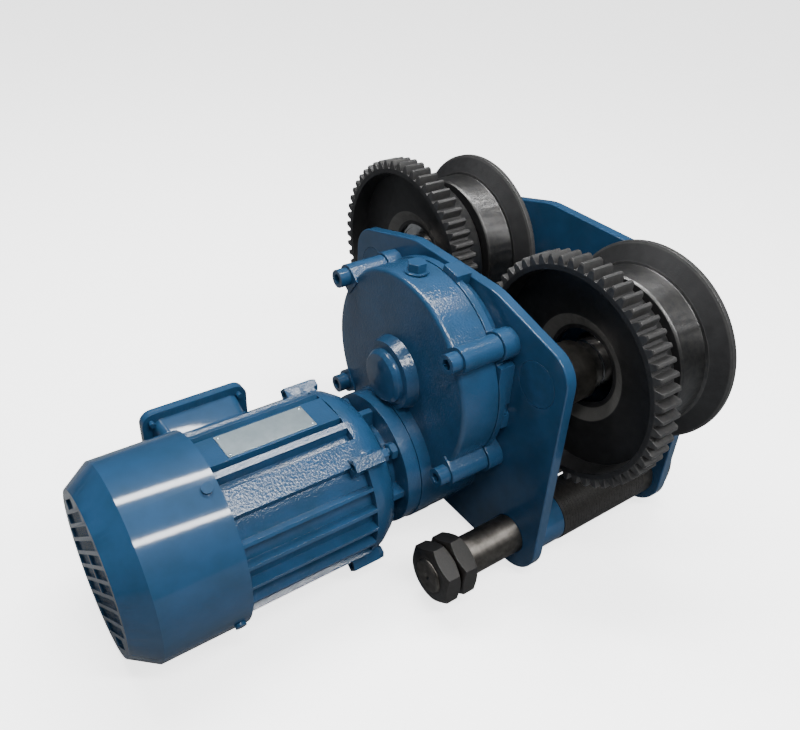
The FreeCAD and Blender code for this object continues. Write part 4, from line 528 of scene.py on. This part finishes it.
def guard_tree(material):
    """Fine bars side by side, each as long as a round field allows."""
    tree, inlet, outlet = new_tree("guard bars", (
        ("Radius", FLOAT, 60.0 * MM), ("Pitch", FLOAT, 2.0 * MM), ("Width", FLOAT, 0.8 * MM),
        ("Depth", FLOAT, 0.8 * MM)))
    give = inlet.outputs
    count = add_node(tree, "ShaderNodeMath", {0: give["Radius"], 1: give["Pitch"]},
                     operation="DIVIDE")
    whole = add_node(tree, "ShaderNodeMath", {0: count.outputs[0]}, operation="FLOOR")
    total = add_node(tree, "ShaderNodeMath", {0: whole.outputs[0], 1: 2.0, 2: -1.0},
                     operation="MULTIPLY_ADD")
    start_steps = add_node(tree, "ShaderNodeMath", {0: whole.outputs[0], 1: -1.0, 2: 1.0},
                           operation="MULTIPLY_ADD")
    start = add_node(tree, "ShaderNodeMath", {0: start_steps.outputs[0], 1: give["Pitch"]},
                     operation="MULTIPLY")
    first = add_node(tree, "ShaderNodeCombineXYZ", {"Z": start.outputs[0]})
    step = add_node(tree, "ShaderNodeCombineXYZ", {"Z": give["Pitch"]})
    line = add_node(tree, "GeometryNodeMeshLine", {
        "Count": total.outputs[0], "Start Location": first.outputs[0], "Offset": step.outputs[0]})
    where = add_node(tree, "GeometryNodeInputPosition")
    height = add_node(tree, "ShaderNodeSeparateXYZ", {"Vector": where.outputs[0]})
    share = add_node(tree, "ShaderNodeMath", {0: height.outputs["Z"], 1: give["Radius"]},
                     operation="DIVIDE")
    square = add_node(tree, "ShaderNodeMath", {0: share.outputs[0], 1: share.outputs[0]},
                      operation="MULTIPLY")
    rest = add_node(tree, "ShaderNodeMath", {0: 1.0, 1: square.outputs[0]}, operation="SUBTRACT")
    chord = add_node(tree, "ShaderNodeMath", {0: rest.outputs[0]}, operation="SQRT")
    size = add_node(tree, "ShaderNodeCombineXYZ", {"X": chord.outputs[0], "Y": 1.0, "Z": 1.0})
    across = add_node(tree, "ShaderNodeMath", {0: give["Radius"], 1: 2.0}, operation="MULTIPLY")
    bar_size = add_node(tree, "ShaderNodeCombineXYZ", {
        "X": across.outputs[0], "Y": give["Depth"], "Z": give["Width"]})
    bar = add_node(tree, "GeometryNodeMeshCube", {"Size": bar_size.outputs[0]})
    bars = add_node(tree, "GeometryNodeInstanceOnPoints", {
        "Points": line.outputs[0], "Instance": bar.outputs[0], "Scale": size.outputs[0]})
    end_tree(tree, outlet, bars.outputs[0], material)
    return tree


def bead_tree(material):
    """A ring of overlapping weld ripples."""
    tree, inlet, outlet = new_tree("weld bead", (
        ("Radius", FLOAT, 24.0 * MM), ("Ripples", "NodeSocketInt", 40),
        ("Size", FLOAT, 2.6 * MM)))
    give = inlet.outputs
    ring = add_node(tree, "GeometryNodeCurvePrimitiveCircle", {
        "Resolution": give["Ripples"], "Radius": give["Radius"]})
    points = add_node(tree, "GeometryNodeCurveToPoints", {"Curve": ring.outputs[0]},
                      mode="EVALUATED")
    ball = add_node(tree, "GeometryNodeMeshUVSphere", {"Segments": 8, "Rings": 6,
                                                       "Radius": give["Size"]})
    ripples = add_node(tree, "GeometryNodeInstanceOnPoints", {
        "Points": points.outputs[0], "Instance": ball.outputs[0],
        "Rotation": points.outputs["Rotation"], "Scale": RIPPLE_SHAPE})
    smooth = add_node(tree, "GeometryNodeSetShadeSmooth", {"Geometry": ripples.outputs[0]})
    end_tree(tree, outlet, smooth.outputs[0], material)
    return tree


def thread_tree(material):
    """A helical ridge along +Z, as an outside thread has."""
    tree, inlet, outlet = new_tree("rod thread", (
        ("Radius", FLOAT, 15.0 * MM), ("Pitch", FLOAT, 2.5 * MM), ("Length", FLOAT, 10.0 * MM)))
    give = inlet.outputs
    turns = add_node(tree, "ShaderNodeMath", {0: give["Length"], 1: give["Pitch"]},
                     operation="DIVIDE")
    helix = add_node(tree, "GeometryNodeCurveSpiral", {
        "Resolution": 48, "Rotations": turns.outputs[0], "Start Radius": give["Radius"],
        "End Radius": give["Radius"], "Height": give["Length"]})
    ridge_size = add_node(tree, "ShaderNodeMath", {0: give["Pitch"], 1: RIDGE_SHARE},
                          operation="MULTIPLY")
    ridge = add_node(tree, "GeometryNodeCurvePrimitiveCircle", {
        "Resolution": 4, "Radius": ridge_size.outputs[0]})
    swept = add_node(tree, "GeometryNodeCurveToMesh", {
        "Curve": helix.outputs[0], "Profile Curve": ridge.outputs[0], "Fill Caps": True})
    end_tree(tree, outlet, swept.outputs[0], material)
    return tree


def rivet_tree(material):
    """Domed rivet heads at the four corners of a rectangle in the XY plane."""
    tree, inlet, outlet = new_tree("plate rivets", (
        ("Width", FLOAT, 20.0 * MM), ("Length", FLOAT, 70.0 * MM), ("Radius", FLOAT, 1.4 * MM)))
    give = inlet.outputs
    grid = add_node(tree, "GeometryNodeMeshGrid", {
        "Size X": give["Width"], "Size Y": give["Length"], "Vertices X": 2, "Vertices Y": 2})
    dome = add_node(tree, "GeometryNodeMeshUVSphere", {"Segments": 20, "Rings": 12,
                                                       "Radius": give["Radius"]})
    heads = add_node(tree, "GeometryNodeInstanceOnPoints", {
        "Points": grid.outputs["Mesh"], "Instance": dome.outputs[0], "Scale": RIVET_SHAPE})
    smooth = add_node(tree, "GeometryNodeSetShadeSmooth", {"Geometry": heads.outputs[0]})
    end_tree(tree, outlet, smooth.outputs[0], material)
    return tree


class TrolleyColours(bpy.types.PropertyGroup):
    """Colours of the trolley."""

    enamel_dark: bpy.props.StringProperty(
        name="Enamel, dark", description="Darker shade of the blue enamel, sRGB hex",
        default="#1b3953")
    enamel_light: bpy.props.StringProperty(
        name="Enamel, light", description="Lighter shade of the blue enamel, sRGB hex",
        default="#1f4060")


class TrolleySizes(bpy.types.PropertyGroup):
    """Sizes of the small pieces that the finish adds, and the power of its lamps."""

    guard_pitch: bpy.props.FloatProperty(
        name="Guard pitch", description="Spacing of the fine bars behind the fan slots",
        default=2.2 * MM, unit="LENGTH")
    guard_radius: bpy.props.FloatProperty(
        name="Guard radius", description="Radius of the field of fine bars",
        default=61.0 * MM, unit="LENGTH")
    thread_pitch: bpy.props.FloatProperty(
        name="Thread pitch", description="Pitch of the thread on the cross rods",
        default=3.0 * MM, unit="LENGTH")
    weld_size: bpy.props.FloatProperty(
        name="Weld size", description="Radius of one ripple of a weld bead",
        default=2.4 * MM, unit="LENGTH")
    lamp_power: bpy.props.FloatProperty(
        name="Lamp power", description="Power of the main soft lamp", default=28.0, min=0.0,
        unit="POWER")


class TROLLEY_OT_materials(bpy.types.Operator):
    """Make every finish of the trolley"""

    bl_idname = "trolley.materials"
    bl_label = "Finishes"

    def execute(self, context):
        make_materials(context.scene.trolley_colours)
        return {"FINISHED"}


class TROLLEY_OT_castings(bpy.types.Operator):
    """Dress the enamelled castings of the gearbox and the motor"""

    bl_idname = "trolley.castings"
    bl_label = "Castings"

    def execute(self, context):
        dress_all(ENAMELLED_CASTINGS, "gloss enamel on sand-cast iron", edge_mm=0.5)
        return {"FINISHED"}


class TROLLEY_OT_plates(bpy.types.Operator):
    """Dress the enamelled side plates and sleeves"""

    bl_idname = "trolley.plates"
    bl_label = "Side plates"

    def execute(self, context):
        dress_all(ENAMELLED_PLATES, "gloss enamel on flame-cut plate", edge_mm=0.4)
        return {"FINISHED"}


class TROLLEY_OT_sheet(bpy.types.Operator):
    """Dress the pressed fan cover, the terminal box and the bearing cap"""

    bl_idname = "trolley.sheet"
    bl_label = "Fan cover and terminal box"

    def execute(self, context):
        dress_all(ENAMELLED_SHEET, "gloss enamel on pressed sheet", edge_mm=0.3)
        return {"FINISHED"}


class TROLLEY_OT_screws(bpy.types.Operator):
    """Dress the painted screws, studs and nuts"""

    bl_idname = "trolley.screws"
    bl_label = "Painted screws"

    def execute(self, context):
        dress_all(ENAMELLED_SCREWS, "gloss enamel on steel screws", edge_mm=0.25)
        return {"FINISHED"}


class TROLLEY_OT_wheels(bpy.types.Operator):
    """Dress the toothed and the plain wheels"""

    bl_idname = "trolley.wheels"
    bl_label = "Wheels"

    def execute(self, context):
        dress_all(WHEELS, "black-painted cast iron", edge_mm=0.3)
        return {"FINISHED"}


class TROLLEY_OT_rods(bpy.types.Operator):
    """Dress the rods, axles, nuts and washers"""

    bl_idname = "trolley.rods"
    bl_label = "Rods, axles and nuts"

    def execute(self, context):
        dress_all(RODS, "turned bright bar", edge_mm=0.3)
        dress_all(AXLES, "turned axle steel", edge_mm=0.3)
        dress_all(BLACKENED, "oil-blackened steel", edge_mm=0.35)
        dress_all(WASHERS, "oxidised steel washers", edge_mm=0.25)
        return {"FINISHED"}


class TROLLEY_OT_inside(bpy.types.Operator):
    """Give the pieces inside the gearbox, the motor and the wheels their finish"""

    bl_idname = "trolley.inside"
    bl_label = "Inner pieces"

    def execute(self, context):
        for material, nodes in INNER.items():
            for node in nodes:
                paint(node, finish(material))
        return {"FINISHED"}


class TROLLEY_OT_name_plate(bpy.types.Operator):
    """Dress the bare name plate and rivet it to the frame"""

    bl_idname = "trolley.name_plate"
    bl_label = "Name plate"

    def execute(self, context):
        metal = finish("satin aluminium sheet")
        dress("name_plate", metal, edge_mm=0.15)
        low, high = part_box("name_plate")
        values = {"Width": high.x - low.x - 2 * RIVET_INSET,
                  "Length": high.y - low.y - 2 * RIVET_INSET}
        rivets = grow("name_plate_rivets", rivet_tree(metal), values, metal)
        centre = Vector(((low.x + high.x) / 2, (low.y + high.y) / 2, high.z))
        rivets.data.transform(Matrix.Translation(centre))
        return {"FINISHED"}


class TROLLEY_OT_fan_guard(bpy.types.Operator):
    """Stretch fine bars behind the slots of the fan cover"""

    bl_idname = "trolley.fan_guard"
    bl_label = "Fan guard"

    def execute(self, context):
        sizes = context.scene.trolley_sizes
        enamel = finish("gloss enamel on pressed sheet")
        values = {"Radius": sizes.guard_radius, "Pitch": sizes.guard_pitch,
                  "Width": GUARD_WIRE, "Depth": GUARD_WIRE}
        tree = guard_tree(enamel)
        for name, angle, depth in GUARD_LAYERS:
            guard = grow("fan_guard_" + name, tree, values, enamel)
            turn = Matrix.Rotation(math.radians(angle), 4, "Y")
            behind = Matrix.Translation((0.0, COVER_END_Y + depth, MOTOR_Z))
            guard.data.transform(behind @ turn)
        return {"FINISHED"}


class TROLLEY_OT_welds(bpy.types.Operator):
    """Lay weld beads round the rod sleeves and the stub axles"""

    bl_idname = "trolley.welds"
    bl_label = "Weld beads"

    def execute(self, context):
        sizes = context.scene.trolley_sizes
        enamel = finish("gloss enamel on flame-cut plate")
        tree = bead_tree(enamel)
        for node, plate, side in WELDS:
            low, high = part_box(node)
            radius = (high.x - low.x) / 2
            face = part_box(plate)[side].y
            values = {"Radius": radius, "Ripples": int(2 * math.pi * radius / sizes.weld_size),
                      "Size": sizes.weld_size}
            bead = grow(node + "_weld", tree, values, enamel)
            upright = Matrix.Rotation(math.radians(90), 4, "X")
            place = Matrix.Translation(((low.x + high.x) / 2, face, (low.z + high.z) / 2))
            bead.data.transform(place @ upright)
        return {"FINISHED"}


class TROLLEY_OT_threads(bpy.types.Operator):
    """Run a thread along both ends of each cross rod"""

    bl_idname = "trolley.threads"
    bl_label = "Rod threads"

    def execute(self, context):
        steel = finish("turned bright bar")
        tree = thread_tree(steel)
        pitch = context.scene.trolley_sizes.thread_pitch
        front_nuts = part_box("lock_nuts")[0].y + THREAD_UNDER_NUT
        back_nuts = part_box("rod_end_nuts")[1].y - THREAD_UNDER_NUT
        for side in ("left", "right"):
            low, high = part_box("cross_rod_" + side)
            for end, start, stop in (("front", low.y + THREAD_BARE_TIP, front_nuts),
                                     ("back", back_nuts, high.y - THREAD_BARE_TIP)):
                values = {"Radius": THREAD_RADIUS, "Pitch": pitch, "Length": stop - start}
                thread = grow(f"rod_thread_{side}_{end}", tree, values, steel)
                upright = Matrix.Rotation(math.radians(-90), 4, "X")
                place = Matrix.Translation(((low.x + high.x) / 2, start, (low.z + high.z) / 2))
                thread.data.transform(place @ upright)
        return {"FINISHED"}


def turn_to(at, aim):
    """The turn that points a lamp or the camera from one point at another."""
    return (Vector(aim) - Vector(at)).to_track_quat("-Z", "Y").to_matrix().to_4x4()


def add_camera():
    """Stand the camera where the photographer stood."""
    data = bpy.data.cameras.new("camera")
    data.lens = CAMERA_LENS
    data.sensor_width = 36.0
    data.sensor_fit = "HORIZONTAL"
    data.clip_start = 0.01
    camera = bpy.data.objects.new("camera", data)
    bpy.context.scene.collection.objects.link(camera)
    roll = Matrix.Rotation(CAMERA_ROLL, 4, "Z")
    camera.matrix_world = Matrix.Translation(CAMERA_AT) @ turn_to(CAMERA_AT, CAMERA_AIM) @ roll
    bpy.context.scene.camera = camera


def add_lamp(name, at, turn, size, power, mirrored):
    """Add one rectangular lamp, which shines down unturned and may show in glossy surfaces."""
    data = bpy.data.lights.new(name, "AREA")
    data.shape = "RECTANGLE"
    data.size, data.size_y = size
    data.energy = power
    lamp = bpy.data.objects.new(name, data)
    bpy.context.scene.collection.objects.link(lamp)
    lamp.matrix_world = Matrix.Translation(Vector(at)) @ turn
    lamp.visible_glossy = mirrored


def add_floor(name, finish_name, drop):
    """Lay one plain stage sheet this far below the trolley."""
    mesh = bpy.data.meshes.new(name)
    work = bmesh.new()
    bmesh.ops.create_grid(work, x_segments=1, y_segments=1, size=FLOOR_REACH)
    work.to_mesh(mesh)
    work.free()
    mesh.materials.append(finish(finish_name))
    floor = bpy.data.objects.new(name, mesh)
    floor.location.z = CAD_BOX[0][2] - drop
    bpy.context.scene.collection.objects.link(floor)
    return floor


class TROLLEY_OT_stage(bpy.types.Operator):
    """Set the pale floor, the soft lamps and the camera"""

    bl_idname = "trolley.stage"
    bl_label = "Stage"

    def execute(self, context):
        power = context.scene.trolley_sizes.lamp_power
        # The trolley mirrors a grey bench top, which the white paper hides from the camera.
        new_material("matt white paper", {
            "Base Color": linear("#f6f6f6"), "Roughness": 0.9,
            "Emission Color": linear("#ffffff"), "Emission Strength": PAPER_GLOW})
        paper = add_floor("floor", "matt white paper", PAPER_DROP)
        paper.visible_diffuse = paper.visible_glossy = paper.visible_shadow = False
        new_material("grey bench linoleum", {"Base Color": linear("#626466"), "Roughness": 0.9})
        bench = add_floor("bench_top", "grey bench linoleum", BENCH_DROP)
        bench.visible_camera = False
        world = bpy.data.worlds.new("studio")
        world.use_nodes = True
        set_inputs(world.node_tree, world.node_tree.nodes["Background"], {
            "Color": linear("#dfe8f0"), "Strength": SKY_STRENGTH})
        context.scene.world = world
        add_lamp("ceiling", CEILING_AT, Matrix(), CEILING_SIZE, power, False)
        for name, at, share in FILLS:
            add_lamp(name, at, turn_to(at, FILL_AIM), FILL_SIZE, power * share, False)
        yaw = Matrix.Rotation(TUBE_YAW, 4, "Z")
        for name, at in TUBES:
            add_lamp(name, at, yaw, TUBE_SIZE, power * TUBE_SHARE, True)
        add_camera()
        return {"FINISHED"}


OPERATORS = (
    TROLLEY_OT_materials, TROLLEY_OT_castings, TROLLEY_OT_plates, TROLLEY_OT_sheet,
    TROLLEY_OT_screws, TROLLEY_OT_wheels, TROLLEY_OT_rods, TROLLEY_OT_inside,
    TROLLEY_OT_name_plate, TROLLEY_OT_fan_guard, TROLLEY_OT_welds, TROLLEY_OT_threads,
    TROLLEY_OT_stage,
)


class TROLLEY_PT_panel(bpy.types.Panel):
    """Lists the pieces of the trolley's finish"""

    bl_idname = "TROLLEY_PT_panel"
    bl_label = "Trolley"
    bl_space_type = "VIEW_3D"
    bl_region_type = "UI"
    bl_category = "Trolley"

    def draw(self, context):
        for group in (context.scene.trolley_colours, context.scene.trolley_sizes):
            for name in group.__annotations__:
                self.layout.prop(group, name)
        for operator in OPERATORS:
            self.layout.operator(operator.bl_idname)


CLASSES = (TrolleyColours, TrolleySizes) + OPERATORS + (TROLLEY_PT_panel,)


def register():
    """Register the classes and hang their settings on the scene."""
    for kind in CLASSES:
        bpy.utils.register_class(kind)
    bpy.types.Scene.trolley_colours = bpy.props.PointerProperty(type=TrolleyColours)
    bpy.types.Scene.trolley_sizes = bpy.props.PointerProperty(type=TrolleySizes)


def unregister():
    """Take the settings and the classes away again."""
    del bpy.types.Scene.trolley_sizes
    del bpy.types.Scene.trolley_colours
    for kind in reversed(CLASSES):
        bpy.utils.unregister_class(kind)


def main():
    """Register the add-on and run its operators in order."""
    register()
    for operator in OPERATORS:
        group, name = operator.bl_idname.split(".")
        getattr(getattr(bpy.ops, group), name)()


if __name__ == "__main__":
    main()
